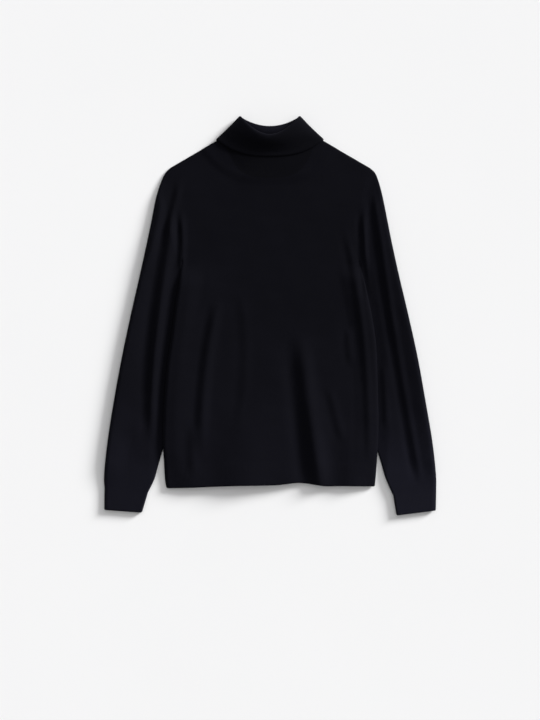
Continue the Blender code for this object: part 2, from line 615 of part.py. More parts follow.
def sleeve_rings(armhole, outer, inner, cuff_end):
    """Outer and inner rings of one sleeve and of its cuff. At the armhole it takes the body's heights."""
    plan, cuff, sleeve_paths, cuff_paths = sleeve_plan(armhole, outer, inner, cuff_end)
    share = np.linspace(0, 1, SLEEVE_RINGS)[:, None] * np.ones(plan.shape[1])
    skins = sleeve_skin(plan, share, *sleeve_paths)
    seam_plan = armhole_points(armhole)[::-1][None]
    front, front_step = body_skin(seam_plan, front=True)
    back, back_step = body_skin(seam_plan, front=False)
    join = along_slope(SLEEVE_JOINS, share)[..., None]
    blended = []
    for own, body in zip(skins, (front, back, front_step, back_step)):
        height = join * own[..., 2:] + (1 - join) * body[..., 2:]
        blended.append(np.dstack([own[..., :2], height]))
    cuff_skins = sleeve_skin(cuff, np.ones(cuff.shape[:2]), *cuff_paths, RIB_EXTRA)
    return close_tube(*blended), close_tube(*cuff_skins)


def close_tube(upper, lower, upper_step, lower_step):
    """Rings of a flat tube: along the upper skin, then back along the lower one, sharing the two edges."""
    middle = (upper[:, (0, -1)] + lower[:, (0, -1)]) / 2
    step = (upper_step[:, (0, -1)] + lower_step[:, (0, -1)]) / 2
    outer = np.concatenate([middle[:, :1], upper[:, 1:-1], middle[:, 1:], lower[:, -2:0:-1]], axis=1)
    steps = np.concatenate([step[:, :1], upper_step[:, 1:-1], step[:, 1:], lower_step[:, -2:0:-1]], axis=1)
    return outer, outer + steps


def ring_quarter(ring, front):
    """A quarter of a ring of the collar, from its side fold to the middle of its front or back.

    In plan it falls from the side by (1 - (x / half) ^ side_power) ^ (1 / fall_power) of the whole fall. Its
    height first rounds the side fold as a quarter circle, and then eases to the height of the middle.
    """
    y_end, z_end, bend = ((ring.y_front, ring.z_front, ring.bend) if front
                          else (ring.y_back, ring.z_back, -ring.bend))
    angles = np.linspace(0, np.pi / 2, LINE_POINTS)
    x = ring.half * np.cos(angles)
    fall = np.clip(1 - (x / ring.half)**ring.side_power, 0, 1)**(1 / ring.fall_power)
    line = np.column_stack([x, ring.y_side + (y_end - ring.y_side) * fall])
    along = np.concatenate([[0], np.cumsum(np.linalg.norm(np.diff(line, axis=0), axis=1))])
    near = SIDE_FOLD_STEPS
    steps = np.concatenate([near, np.linspace(near[-1], along[-1], COLLAR_SPANS + 1)[1:]])
    angle = np.interp(steps, along, angles)
    quarter_circle = np.sqrt(1 - np.clip(1 - steps / ring.bend, 0, 1)**2)
    fold_edge = ring.z_side + bend * quarter_circle
    place = np.column_stack([np.interp(steps, along, line[:, k]) for k in (0, 1)])
    if front:
        risen = 1 - (1 - np.clip(np.sin(angle) / np.sin(np.radians(ring.front_turn)), 0, 1))**2
    else:
        risen = along_slope(COLLAR_BACK_RISES, place[:, 0])
    return np.column_stack([place, fold_edge + (z_end - fold_edge) * risen])


def collar_rings():
    """Outer and inner rings of the collar: the middle of its wall, moved half a wall each way."""
    middle = []
    for ring in COLLAR_RINGS:
        front, back = ring_quarter(ring, True), ring_quarter(ring, False)
        mirror = np.array([-1.0, 1.0, 1.0])
        middle.append(np.vstack([front, front[-2::-1] * mirror, back[1:] * mirror, back[-2:0:-1]]))
    middle = np.array(middle)
    around = np.roll(middle, -1, axis=1) - np.roll(middle, 1, axis=1)
    along = np.gradient(middle, axis=0)
    normal = np.cross(around, along)
    normal /= np.linalg.norm(normal, axis=2, keepdims=True)
    return middle + normal * COLLAR_WALL / 2, middle - normal * COLLAR_WALL / 2


def skin_faces(outer, closed):
    """Two triangles for each cell of a grid of points, parted along the cell's shorter diagonal."""
    rows, columns = outer.shape[:2]
    numbers = np.arange(rows * columns).reshape(rows, columns)
    if closed:
        numbers = np.hstack([numbers, numbers[:, :1]])
    corners = numbers[:-1, :-1], numbers[:-1, 1:], numbers[1:, 1:], numbers[1:, :-1]
    a, b, c, d = (corner.ravel() for corner in corners)
    points = outer.reshape(-1, 3)
    rising = np.linalg.norm(points[a] - points[c], axis=1) <= np.linalg.norm(points[b] - points[d], axis=1)
    first = np.where(rising, (a, b, c), (a, b, d)).T
    second = np.where(rising, (a, c, d), (b, c, d)).T
    return np.vstack([first, second])


def edge_loops(rows, columns, closed):
    """The point numbers round each edge of a grid, in the order in which its faces run."""
    numbers = np.arange(rows * columns).reshape(rows, columns)
    if closed:
        return [numbers[0], numbers[-1, ::-1]]
    return [np.concatenate([numbers[0, :-1], numbers[:-1, -1], numbers[-1, :0:-1], numbers[:0:-1, 0]])]


def wall_object(name, outer, inner, closed, colour):
    """One closed solid between an outer and an inner grid; closed says that its rows are rings.

    Both skins are parted along the same diagonals, so that the wall keeps its thickness inside each cell.
    """
    rows, columns = outer.shape[:2]
    count = rows * columns
    skin = skin_faces(outer, closed)
    faces = [skin, skin[:, ::-1] + count]
    for loop in edge_loops(rows, columns, closed):
        ahead = np.roll(loop, -1)
        faces.append(np.column_stack([ahead, loop, loop + count]))
        faces.append(np.column_stack([ahead, loop + count, ahead + count]))
    faces = np.vstack(faces)
    points = np.vstack([outer.reshape(-1, 3), inner.reshape(-1, 3)])
    if signed_volume(points, faces) < 0:
        faces = faces[:, ::-1]
    mesh = bpy.data.meshes.new(name)
    mesh.from_pydata(points.tolist(), [], faces.tolist())
    mesh.shade_smooth()
    mesh.materials.append(knit_material(colour))
    piece = bpy.data.objects.new(name, mesh)
    bpy.context.scene.collection.objects.link(piece)
    return piece


def signed_volume(points, faces):
    """Volume that the faces enclose, negative where they point inwards."""
    first, second, third = (points[faces[:, k]] for k in range(3))
    return np.einsum("ij,ij->", first, np.cross(second, third)) / 6


def knit_material(kind):
    """The matt, nearly black yarn of the panels or of the rib."""
    name = kind + "_knit"
    material = bpy.data.materials.get(name)
    if material is None:
        material = bpy.data.materials.new(name)
        material.use_nodes = True
        shader = material.node_tree.nodes["Principled BSDF"]
        shader.inputs["Base Color"].default_value = (*COLOURS[kind], 1)
        shader.inputs["Roughness"].default_value = ROUGHNESS
        shader.inputs["Metallic"].default_value = 0.0
    return material


def build_panels():
    """Front and back panels with the two halves of the hem rib."""
    pieces = []
    for panel in (FRONT, BACK):
        skin, step = body_skin(panel_plan(panel), panel.front)
        pieces.append(wall_object(panel.name, skin, skin + step, False, "panel"))
        skin, step = body_skin(hem_plan(panel), panel.front, panel.rib_extra)
        pieces.append(wall_object("hem_" + panel.name, skin, skin + step, False, "rib"))
    return pieces


def build_sleeves():
    """Both sleeves with their cuffs."""
    pieces = []
    arms = (("left", ARMHOLE_LEFT, OUTER_LEFT, INNER_LEFT, CUFF_END_LEFT),
            ("right", ARMHOLE_RIGHT, OUTER_RIGHT, INNER_RIGHT, CUFF_END_RIGHT))
    for side, armhole, outer, inner, cuff_end in arms:
        sleeve, cuff = sleeve_rings(armhole, outer, inner, cuff_end)
        pieces.append(wall_object("sleeve_" + side, *sleeve, True, "panel"))
        pieces.append(wall_object("cuff_" + side, *cuff, True, "rib"))
    return pieces


def build_collar():
    """The roll neck."""
    return [wall_object("collar", *collar_rings(), True, "rib")]


def centre_on_floor(pieces):
    """Moves every piece so that the whole box is centred on the Z axis and stands on z = 0."""
    corners = np.array([vertex.co for piece in pieces for vertex in piece.data.vertices])
    low, high = corners.min(axis=0), corners.max(axis=0)
    shift = np.array([(low[0] + high[0]) / 2, (low[1] + high[1]) / 2, low[2]])
    for piece in pieces:
        for vertex in piece.data.vertices:
            vertex.co = [vertex.co[k] - shift[k] for k in range(3)]


def main():
    for old in list(bpy.data.objects):
        bpy.data.objects.remove(old)
    pieces = build_panels() + build_sleeves() + build_collar()
    centre_on_floor(pieces)


main()
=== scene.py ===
"""Roll-neck sweater laid flat on a pale floor, front up: its knitted cloth, finish, lights and camera.

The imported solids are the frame. Each piece is a thin shell on its solid's form, in the same metres: X to the
viewer's right, Y from the hem towards the collar, Z up. It starts as a grid in plan between its own edges.
Its height comes from functions of the plan, its thickness from a Solidify modifier, and its stitches from
UVs that run along the wales.
"""

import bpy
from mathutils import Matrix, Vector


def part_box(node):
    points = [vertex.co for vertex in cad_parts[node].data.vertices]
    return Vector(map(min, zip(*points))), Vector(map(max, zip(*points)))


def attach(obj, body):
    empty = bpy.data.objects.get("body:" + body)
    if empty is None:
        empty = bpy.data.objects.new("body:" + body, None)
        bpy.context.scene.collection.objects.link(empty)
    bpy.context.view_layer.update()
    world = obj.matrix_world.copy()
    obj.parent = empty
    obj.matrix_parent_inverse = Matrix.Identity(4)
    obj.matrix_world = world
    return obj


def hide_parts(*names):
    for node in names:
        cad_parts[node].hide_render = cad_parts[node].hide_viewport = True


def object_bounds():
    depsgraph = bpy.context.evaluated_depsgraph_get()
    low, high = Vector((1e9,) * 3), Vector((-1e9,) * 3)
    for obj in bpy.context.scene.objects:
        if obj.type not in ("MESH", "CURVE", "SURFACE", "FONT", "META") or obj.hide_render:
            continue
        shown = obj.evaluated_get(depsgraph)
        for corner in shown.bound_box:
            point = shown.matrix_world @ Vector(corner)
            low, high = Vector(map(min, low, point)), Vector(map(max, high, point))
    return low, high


bl_info = {
    "name": "Roll-neck sweater",
    "version": (1, 0, 0),
    "blender": (4, 5, 0),
    "location": "View3D > Sidebar > Sweater",
    "description": "Builds the knitted pieces of a roll-neck sweater laid flat, and the stage they lie on",
    "category": "Object",
}

from typing import NamedTuple

import bpy
import numpy as np
from bpy.props import FloatProperty, FloatVectorProperty, IntProperty, PointerProperty

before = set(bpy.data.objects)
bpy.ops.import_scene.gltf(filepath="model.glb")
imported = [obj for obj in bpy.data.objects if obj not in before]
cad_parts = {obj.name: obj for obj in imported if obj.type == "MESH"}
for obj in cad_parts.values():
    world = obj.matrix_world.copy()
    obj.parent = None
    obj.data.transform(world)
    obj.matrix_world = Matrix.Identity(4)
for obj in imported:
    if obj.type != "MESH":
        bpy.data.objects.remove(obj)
CAD_LOW, CAD_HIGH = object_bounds()

# Cloth and seams
WALE = 0.0015           # width of one column of plain stitches
COURSE = 0.0011         # height of one row of stitches
WALL = 0.0018
LAYER_GAP = 0.0005
TWO_LAYERS = 2 * WALL + LAYER_GAP
RIBS_GROW = 0.004       # run in which the ribs rise out of their seam

# Body
HEM_DEPTH = 0.048
UNDERARM_Y = 0.108
NECK_HALF = 0.0905
NECK_TOP_Y = 0.3603
NECK_SIDE_POWER = 3.4
NECK_FALL_POWER = 1.5
LEAN_AT_NECK = 0.60
LEAN_AT_TIP = -0.28

# Turned-down collar, where the back panel passes over it
TURN_DOWN_SIDE = (0.1078, 0.3528)
TURN_DOWN_BACK_Y = 0.3050
TURN_DOWN_POWER = 2.6
TURN_DOWN_FLAT = 0.016

# Air inside the body
LEAST_AIR = 0.0016
LEFT_SIDE_AIR = 0.0038
RIGHT_SIDE_AIR = 0.0018
BELLY_AIR = 0.0076
HEM_AIR = 0.0086
HEM_AIR_X = -0.050
HEM_AIR_REACH = 0.055
NECK_AIR = 0.0014
NECK_AIR_REACH = 0.075

# Air inside the sleeves and cuffs
SLEEVE_AIR = 0.0036
SLEEVE_OUTER_AIR = 0.0085
CUFF_AIR = 0.0058

# Rounded edges: reach is seen from above, rise is the height of the seam over the lower layer's underside
SIDE_SEAM_RISE = 0.0036
SHOULDER_SEAM_RISE = 0.0023
SIDE_TURN = 0.0085
BACK_TURN = 0.0052
SHOULDER_TURN = 0.0042
SLEEVE_TURN = 0.0042
SLEEVE_TURN_GAIN = 0.0050
INNER_TURN = 0.0035
INNER_RISE = 0.0023
OUTER_RISE = 0.0024
OUTER_RISE_GAIN = 0.0066
CUFF_RISE_GAIN = 0.0030
SLEEVE_PASS = 0.0052
COLLAR_PASS = 0.0026
EDGE_ROLL = 0.0016      # radius of the soft edge of the ribs
COLLAR_WALL = 0.0015
COLLAR_SEWN = 0.014     # run in which the collar leaves the front panel's height
COLLAR_FRONT_STARTS = 0.022     # how far below the neck's high points the collar is sewn to the front

# Grid: how far apart the points are
ROUND_STEPS = 8
PANEL_STEP = 0.0036
SLEEVE_STEP = 0.0036
RIB_ROW_STEP = 0.0024
RIB_POINTS = 6          # across one rib of the hem and cuffs
COLLAR_RIB_POINTS = 5   # across one rib of the collar
RING_POINTS = 60        # along a quarter of the collar's ring before its points are made even
PATH_STEPS = 12         # straight steps between two points of an outline
NECK_STEPS = 360        # straight steps along the neckline
ARC_STEPS = 720         # straight steps in plan along a quarter of the collar's ring
GRID_CORNERS = (
    (slice(None, -1), slice(None, -1)),
    (slice(None, -1), slice(1, None)),
    (slice(1, None), slice(1, None)),
    (slice(1, None), slice(None, -1)),
)

# Folds: where their ridge and trough lie and how far they reach, as shares of the fold's width
RIDGE_AT = 0.55
RIDGE_REACH = 0.62
TROUGH_AT = -0.50
TROUGH_REACH = 0.60
TROUGH_DEPTH = 0.55     # as a share of the ridge's rise
FADE_STARTS = 0.02      # how far past its ends a fold starts to show
WAVES = 12              # how many waves make the laid cloth uneven
WAVE_LENGTHS = (0.035, 0.12)    # the shortest and the longest
SLEEVE_SEED = 5         # of the waves' random draws
SOFTENED = 0.0012       # height within which the air eases to 0


class Slope(NamedTuple):
    """A smooth step from 0 to 1 that starts at one place and takes a run, which is negative to run down."""
    start: float
    run: float


class Side(NamedTuple):
    """One level of the body: its height along Y and the places of its two side seams."""
    y: float
    left: float
    right: float


class Fold(NamedTuple):
    """One soft fold that runs down the cloth through three points, low on its left and high on its right."""
    x_top: float
    y_top: float
    x_mid: float
    y_mid: float
    x_low: float
    y_low: float
    width: float
    rise: float
    fade_top: float
    fade_low: float


class Ring(NamedTuple):
    """One ring of the collar's tube, from the neck seam over the fold to the free edge.

    half is its half width, and y and z are the middle of the wall at the side, front and back. bend is the
    radius in which it rounds the side fold. side_power and fall_power shape its dip in plan, and front_turn
    is the angle from the side, in degrees, in which its front reaches full height.
    """
    half: float
    y_side: float
    z_side: float
    bend: float
    y_front: float
    z_front: float
    y_back: float
    z_back: float
    side_power: float
    fall_power: float
    front_turn: float


class Panel(NamedTuple):
    """The front or the back: the depth of its neckline and how much it is shorter."""
    name: str
    front: bool
    neck_drop: float
    shorter: float
    seed: int


class Cut(NamedTuple):
    """Flat size of a piece before it was sewn, all round on a tube: width, length and area."""
    width: float
    length: float
    area: float


FRONT = Panel("front", True, 0.0843, 0.0, 3)
BACK = Panel("back", False, 0.0180, 0.0020, 8)

SIDES = (
    Side(-0.3490, -0.2070, 0.2098),
    Side(-0.3282, -0.2104, 0.2118),
    Side(-0.3000, -0.2120, 0.2140),
    Side(-0.2582, -0.2142, 0.2164),
    Side(-0.2082, -0.2132, 0.2176),
    Side(-0.1682, -0.2112, 0.2168),
    Side(-0.1282, -0.2082, 0.2158),
    Side(-0.0882, -0.2042, 0.2146),
    Side(-0.0482, -0.1982, 0.2118),
    Side(-0.0082, -0.1928, 0.2058),
    Side(0.0318, -0.1876, 0.1978),
    Side(0.0718, -0.1812, 0.1888),
    Side(UNDERARM_Y, -0.1772, 0.1798),
)
ARMHOLES = (
    Side(UNDERARM_Y, -0.1772, 0.1798),
    Side(0.1418, -0.1782, 0.1780),
    Side(0.1818, -0.1802, 0.1788),
    Side(0.2218, -0.1842, 0.1826),
    Side(0.2618, -0.1918, 0.1898),
    Side(0.2963, -0.2002, 0.2008),
)
# Outlines in plan, as x and y
HEM_LINE = (
    (-0.2070, -0.3465), (-0.1602, -0.3452), (-0.1002, -0.3426), (-0.0522, -0.3408),
    (0.0078, -0.3402), (0.0318, -0.3380), (0.0588, -0.3356), (0.0918, -0.3396),
    (0.1158, -0.3422), (0.1518, -0.3418), (0.2098, -0.3430),
)
OUTER_LEFT = (
    (-0.2086, 0.2878), (-0.2152, 0.2758), (-0.2222, 0.2578), (-0.2295, 0.2318),
    (-0.2371, 0.1918), (-0.2452, 0.1518), (-0.2539, 0.1118), (-0.2628, 0.0718),
    (-0.2809, -0.0082), (-0.2976, -0.0882), (-0.3122, -0.1682), (-0.3248, -0.2482),
    (-0.3324, -0.3182), (-0.3316, -0.3482),
)
OUTER_RIGHT = (
    (0.2102, 0.2878), (0.2160, 0.2758), (0.2216, 0.2578), (0.2276, 0.2318),
    (0.2354, 0.1918), (0.2432, 0.1518), (0.2518, 0.1118), (0.2608, 0.0718),
    (0.2797, -0.0082), (0.2971, -0.0882), (0.3114, -0.1682), (0.3250, -0.2482),
    (0.3330, -0.3182), (0.3336, -0.3522),
)
INNER_LEFT = (
    (-0.1772, 0.0930), (-0.1786, 0.0780), (-0.1796, 0.0600), (-0.1795, 0.0330), (-0.1850, -0.0182),
    (-0.1945, -0.0882), (-0.2010, -0.1582), (-0.2048, -0.2182), (-0.2120, -0.2582), (-0.2236, -0.2982),
    (-0.2318, -0.3282), (-0.2452, -0.3562),
)
INNER_RIGHT = (
    (0.1827, 0.0930), (0.1856, 0.0780), (0.1876, 0.0600), (0.1890, 0.0330), (0.1970, -0.0182),
    (0.2050, -0.0882), (0.2072, -0.1582), (0.2085, -0.2182), (0.2126, -0.2582), (0.2238, -0.2982),
    (0.2328, -0.3282), (0.2478, -0.3622),
)
CUFF_END_LEFT = ((-0.3322, -0.3898), (-0.2568, -0.3954))
CUFF_END_RIGHT = ((0.3328, -0.3912), (0.2542, -0.4010))

FRONT_FOLDS = (
    Fold(0.0500, -0.0450, 0.0655, -0.1900, 0.0922, -0.3800, 0.026, 0.0074, 0.090, 0.110),
    Fold(0.0690, -0.1700, 0.0790, -0.2600, 0.0933, -0.3800, 0.034, 0.0036, 0.120, 0.110),
    Fold(0.1440, -0.2200, 0.1460, -0.2900, 0.1480, -0.3800, 0.045, 0.0036, 0.120, 0.0),
    Fold(-0.1140, 0.0200, -0.1310, -0.0700, -0.1440, -0.2900, 0.017, 0.0042, 0.060, 0.120),
    Fold(0.1480, 0.1650, 0.1790, -0.0200, 0.1935, -0.2900, 0.012, 0.0018, 0.070, 0.060),
    Fold(0.1160, -0.1600, 0.1260, -0.2000, 0.1360, -0.2400, 0.014, 0.0016, 0.030, 0.030),
    Fold(-0.0640, 0.0320, -0.0560, -0.0480, -0.0720, -0.2280, 0.016, 0.0012, 0.050, 0.080),
    Fold(-0.1600, -0.2300, -0.1610, -0.2600, -0.1600, -0.3100, 0.016, 0.0018, 0.030, 0.040),
    Fold(0.1530, -0.0400, 0.1545, -0.0650, 0.1570, -0.0900, 0.012, 0.0016, 0.020, 0.030),
)
BACK_FOLDS = (
    Fold(-0.0700, 0.0600, -0.0560, -0.0800, -0.0760, -0.2600, 0.020, 0.0012, 0.070, 0.090),
    Fold(0.0900, 0.0200, 0.1010, -0.1200, 0.0940, -0.2800, 0.018, 0.0014, 0.060, 0.060),
    Fold(0.0120, 0.2100, 0.0050, 0.1300, 0.0160, 0.0500, 0.022, 0.0010, 0.060, 0.060),
)
ARMHOLE_FOLDS = (
    Fold(-0.1830, 0.2000, -0.1806, 0.1400, -0.1850, 0.0900, 0.011, 0.0036, 0.050, 0.040),
    Fold(-0.1880, 0.2600, -0.2015, 0.2000, -0.2130, 0.1500, 0.012, 0.0026, 0.040, 0.060),
    Fold(0.1835, 0.2050, 0.1856, 0.1300, 0.1925, 0.0450, 0.010, 0.0034, 0.045, 0.035),
)
SLEEVE_FOLDS = (
    Fold(-0.1880, 0.2500, -0.2225, 0.0700, -0.2420, -0.2500, 0.020, 0.0070, 0.110, 0.090),
    Fold(-0.2245, 0.2300, -0.2340, 0.1640, -0.2500, 0.1050, 0.013, 0.0040, 0.040, 0.050),
    Fold(0.2010, 0.2500, 0.2230, 0.1000, 0.2420, -0.0300, 0.012, 0.0028, 0.060, 0.060),
    Fold(0.2380, 0.0000, 0.2630, -0.1500, 0.3050, -0.3850, 0.0125, 0.0028, 0.060, 0.030),
    Fold(0.2190, -0.1100, 0.2230, -0.1600, 0.2250, -0.2100, 0.012, 0.0022, 0.030, 0.030),
)
COLLAR_RINGS = (
    Ring(0.0902, 0.3598, 0.0056, 0.0013, 0.2756, 0.0086, 0.3436, 0.0040, 3.4, 1.50, 30),
    Ring(0.0850, 0.3652, 0.0058, 0.0013, 0.2930, 0.0094, 0.3482, 0.0050, 3.1, 1.40, 34),
    Ring(0.0795, 0.3715, 0.0060, 0.0013, 0.3120, 0.0105, 0.3540, 0.0066, 2.8, 1.25, 38),
    Ring(0.0728, 0.3800, 0.0062, 0.0013, 0.3296, 0.0124, 0.3610, 0.0086, 2.4, 1.10, 46),
    Ring(0.0655, 0.3875, 0.0064, 0.0013, 0.3446, 0.0166, 0.3680, 0.0102, 2.0, 1.00, 60),
    Ring(0.0600, 0.3930, 0.0067, 0.0013, 0.3545, 0.0224, 0.3736, 0.0102, 2.0, 1.00, 80),
    Ring(0.0582, 0.3960, 0.0068, 0.0013, 0.3594, 0.0280, 0.3772, 0.0092, 2.0, 1.00, 90),
    Ring(0.0602, 0.3984, 0.0066, 0.0025, 0.3580, 0.0318, 0.3790, 0.0070, 2.0, 1.00, 90),
    Ring(0.0646, 0.3944, 0.0062, 0.0035, 0.3516, 0.0314, 0.3762, 0.0046, 2.0, 1.00, 80),
    Ring(0.0744, 0.3842, 0.0058, 0.0035, 0.3438, 0.0270, 0.3690, 0.0028, 2.1, 1.00, 60),
    Ring(0.0862, 0.3726, 0.0052, 0.0036, 0.3356, 0.0204, 0.3560, 0.0013, 2.2, 1.00, 44),
    Ring(0.0972, 0.3624, 0.0047, 0.0036, 0.3272, 0.0152, 0.3400, 0.0009, 2.4, 1.00, 32),
    Ring(0.1078, 0.3528, 0.0044, 0.0036, 0.3186, 0.0131, 0.3050, 0.0009, 2.6, 1.00, 26),
)

# Where heights come and go: y is a level, gap a distance from the body's side edge or the sleeve's edge
PASS_BELOW_ARM = Slope(0.104, -0.040)       # y
PASS_ABOVE_HEM = Slope(-0.330, 0.070)       # y
PASS_NEAR_SIDE = Slope(0.052, -0.033)       # gap
PASS_ON_COLLAR = Slope(-0.046, 0.022)       # distance above the collar's turned-down back edge
BELOW_ARM = Slope(UNDERARM_Y, -0.060)       # y
NEAR_SIDE = Slope(0.050, -0.050)            # gap
WIDE_OF_SIDE = Slope(0.120, -0.120)         # gap
OFF_SIDE = Slope(0.0, 0.060)                # gap
TOWARDS_HEM = Slope(0.0, -0.250)            # y
LOW_BODY = Slope(-0.140, -0.200)            # y
BELOW_COLLAR = Slope(0.190, 0.090)          # y
ABOVE_CUFF = Slope(-0.345, 0.060)           # y
SLEEVE_GROWS = Slope(0.0, 0.24)             # share of the sleeve's length
SLEEVE_JOINS = Slope(0.0, 0.10)             # share of the sleeve's length
COLLAR_BACK_RISES = Slope(0.060, -0.050)    # distance from the middle
TUCKS_UNDER = Slope(0.140, -0.060)          # y
FREE_OF_BODY = (Slope(0.005, 0.026), Slope(0.0, 0.024))     # distance out of the body's left and right edge

# Tone and painted light, as shares added to the colour: lighter towards hem and cuffs; painted shade, light
# and highlight on the collar
# how much lighter the body's colour is made towards the hem, and where along Y
BODY_LIGHTER = 0.26
BODY_LIGHTER_BELOW = Slope(-0.040, -0.300)          # y
# where along Y the sleeves' colour starts to be made lighter towards the cuffs
SLEEVE_LIGHTER_BELOW = Slope(-0.120, -0.300)        # y
# painted shade: the whole collar is made darker
COLLAR_PAINTED_SHADE = -0.24
# painted shade on the front of the stand, under the turned-down collar
STAND_PAINTED_SHADE = -0.12      # added on the front of the stand
# painted light inside the back of the neck, where the inside faces the light
INSIDE_PAINTED_LIGHT = 0.84      # added inside the back of the neck
INSIDE_STARTS = 0.03    # how far behind the side fold the inside shows fully, as a share of the way round
# painted highlight along the top of the collar's fold
FOLD_PAINTED_HIGHLIGHT = 0.45        # added along the collar's fold
FOLD_PAINT_REACH = 0.10  # as a share of the collar's rows
FOLD_SHARE = 0.52       # where the fold lies, as a share of the collar's rows

# Finish of the yarn and the floor, and the camera
STITCH_UV = "stitches"
# name of the per-point share that lightens the colour towards the hem and cuffs and paints shade, light and a
# highlight on the collar
TONE_AND_PAINTED_LIGHT = "tone_and_painted_light"
LEG_LEAN = 0.55         # how many courses a leg of a stitch leans
LEG_ROUNDNESS = 0.6     # power that shapes a leg's bulge
STITCH_SHARE = 0.65     # how much of a leg's height comes and goes with each stitch
NAP_NOISES = {"Cloudy": (9.0, 4.0), "Fibre": (1400.0, 3.0)}     # scale and detail of each
CLOUDY_SHARE = 0.7      # how much of the yarn's change of tone is cloudy, the rest being its fibre
GAP_SHADE = 0.5         # how much darker the gaps between stitches are
YARN_TONES = (0.74, 1.30)       # the darkest and the lightest yarn, as shares of its colour
ROUGHNESS = (0.82, 0.98)
FIBRE_RELIEF = 0.45     # as a share of a stitch's height
BUMP_STRENGTH = 0.7
SHEEN_ROUGHNESS = 0.45
FLOOR_NOISE = {"Scale": 3.0, "Detail": 6.0}
FLOOR_TONES = (0.99, 1.01)
FLOOR_GAP = 0.0004      # how far the floor lies under the cloth
SENSOR_WIDTH = 36.0     # millimetres


def ease(value):
    """0 below 0, 1 above 1, and a smooth s-curve between."""
    share = np.clip(value, 0.0, 1.0)
    return share * share * (3.0 - 2.0 * share)


def along_slope(slope, value):
    """How far a smooth step has come at a value."""
    return ease((value - slope.start) / slope.run)


def bump(distance, reach):
    """A soft hill, 1 at its middle and falling off over the reach."""
    return np.exp(-(distance / reach) ** 2)


def never_below_zero(height):
    """Height, eased so that it never falls below 0."""
    return 0.5 * (height + np.sqrt(height * height + SOFTENED * SOFTENED))


def run_lengths(line):
    """Distance along a line at each of its points."""
    return np.concatenate([[0], np.cumsum(np.linalg.norm(np.diff(line, axis=0), axis=1))])


def run_shares(line):
    """Share of a line's whole length at each of its points."""
    along = run_lengths(line)
    return along / along[-1]


def cubic(start, end, leave, arrive, share):
    """The cubic curve from start to end that leaves and arrives with the given slopes."""
    return ((2 * share**3 - 3 * share**2 + 1) * start + (share**3 - 2 * share**2 + share) * leave
            + (3 * share**2 - 2 * share**3) * end + (share**3 - share**2) * arrive)


def through_knots(knots, shares):
    """A smooth curve through rows of values: a cubic between two rows, with slopes from the rows around."""
    before = np.vstack([2 * knots[0] - knots[1], knots[:-1]])
    after = np.vstack([knots[1:], 2 * knots[-1] - knots[-2]])
    slopes = (after - before) / 2
    place = shares * (len(knots) - 1)
    row = np.minimum(place.astype(int), len(knots) - 2)
    share = (place - row)[:, None]
    return cubic(knots[row], knots[row + 1], slopes[row], slopes[row + 1], share)


class Path:
    """A smooth curve in plan through a few points, kept as many short straight steps."""

    def __init__(self, *points):
        knots = np.array(points, float)
        self.points = through_knots(knots, np.linspace(0, 1, PATH_STEPS * (len(knots) - 1) + 1))
        self.runs = np.diff(self.points, axis=0)
        self.along = run_lengths(self.points)
        self.length = self.along[-1]

    def at(self, distances):
        """Points at the given distances along the curve."""
        return np.column_stack([np.interp(distances, self.along, self.points[:, k]) for k in (0, 1)])

    def x_at(self, y):
        """The curve's x at height y, for a curve that only climbs or only falls."""
        order = np.argsort(self.points[:, 1])
        return np.interp(y, self.points[order, 1], self.points[order, 0])

    def y_at(self, x):
        """The curve's y at x, for a curve that runs to the right."""
        return np.interp(x, self.points[:, 0], self.points[:, 1])

    def distance(self, plan):
        """Distance from each plan point to the curve, a row of the grid at a time to save memory."""
        squares = np.sum(self.runs**2, axis=1)
        rows = []
        for row in plan:
            spot = row[:, None]
            share = np.sum((spot - self.points[:-1]) * self.runs, axis=2) / squares
            foot = self.points[:-1] + np.clip(share, 0, 1)[..., None] * self.runs
            rows.append(np.linalg.norm(spot - foot, axis=2).min(axis=1))
        return np.array(rows)


SIDE_LEFT = Path(*((row.left, row.y) for row in SIDES))
SIDE_RIGHT = Path(*((row.right, row.y) for row in SIDES))
ARMHOLE_LEFT = Path(*((row.left, row.y) for row in ARMHOLES))
ARMHOLE_RIGHT = Path(*((row.right, row.y) for row in ARMHOLES))
SHOULDER_LEFT = Path((ARMHOLES[-1].left, ARMHOLES[-1].y), (-NECK_HALF, NECK_TOP_Y))
SHOULDER_RIGHT = Path((ARMHOLES[-1].right, ARMHOLES[-1].y), (NECK_HALF, NECK_TOP_Y))
HEM_EDGE = Path(*HEM_LINE)


def spaced(length, first, last, spans):
    """Distances from 0 to length: evenly, but by equal angles of a turn within first and last of the ends."""
    turn = 1 - np.cos(np.linspace(0, np.pi / 2, ROUND_STEPS + 1))
    near = first * turn if first else np.zeros(1)
    far = last * turn if last else np.zeros(1)
    middle = np.linspace(first, length - last, spans + 1)[1:-1]
    return np.concatenate([near, middle, (length - far)[::-1]])


def fold_heights(plan, folds):
    """Sum of the folds: each is a trough beside a ridge, faded out at its two ends."""
    x, y = plan[..., 0], plan[..., 1]
    total = np.zeros(x.shape)
    for fold in folds:
        top, mid, low = fold.y_top, fold.y_mid, fold.y_low
        centre = (fold.x_top * (y - mid) * (y - low) / ((top - mid) * (top - low))
                  + fold.x_mid * (y - top) * (y - low) / ((mid - top) * (mid - low))
                  + fold.x_low * (y - top) * (y - mid) / ((low - top) * (low - mid)))
        across = (x - centre) / fold.width
        shape = bump(across - RIDGE_AT, RIDGE_REACH) - TROUGH_DEPTH * bump(across - TROUGH_AT, TROUGH_REACH)
        fade = ease((top + FADE_STARTS - y) / fold.fade_top)
        if fold.fade_low:
            fade = fade * ease((y - low + FADE_STARTS) / fold.fade_low)
        total += fold.rise * shape * fade
    return total


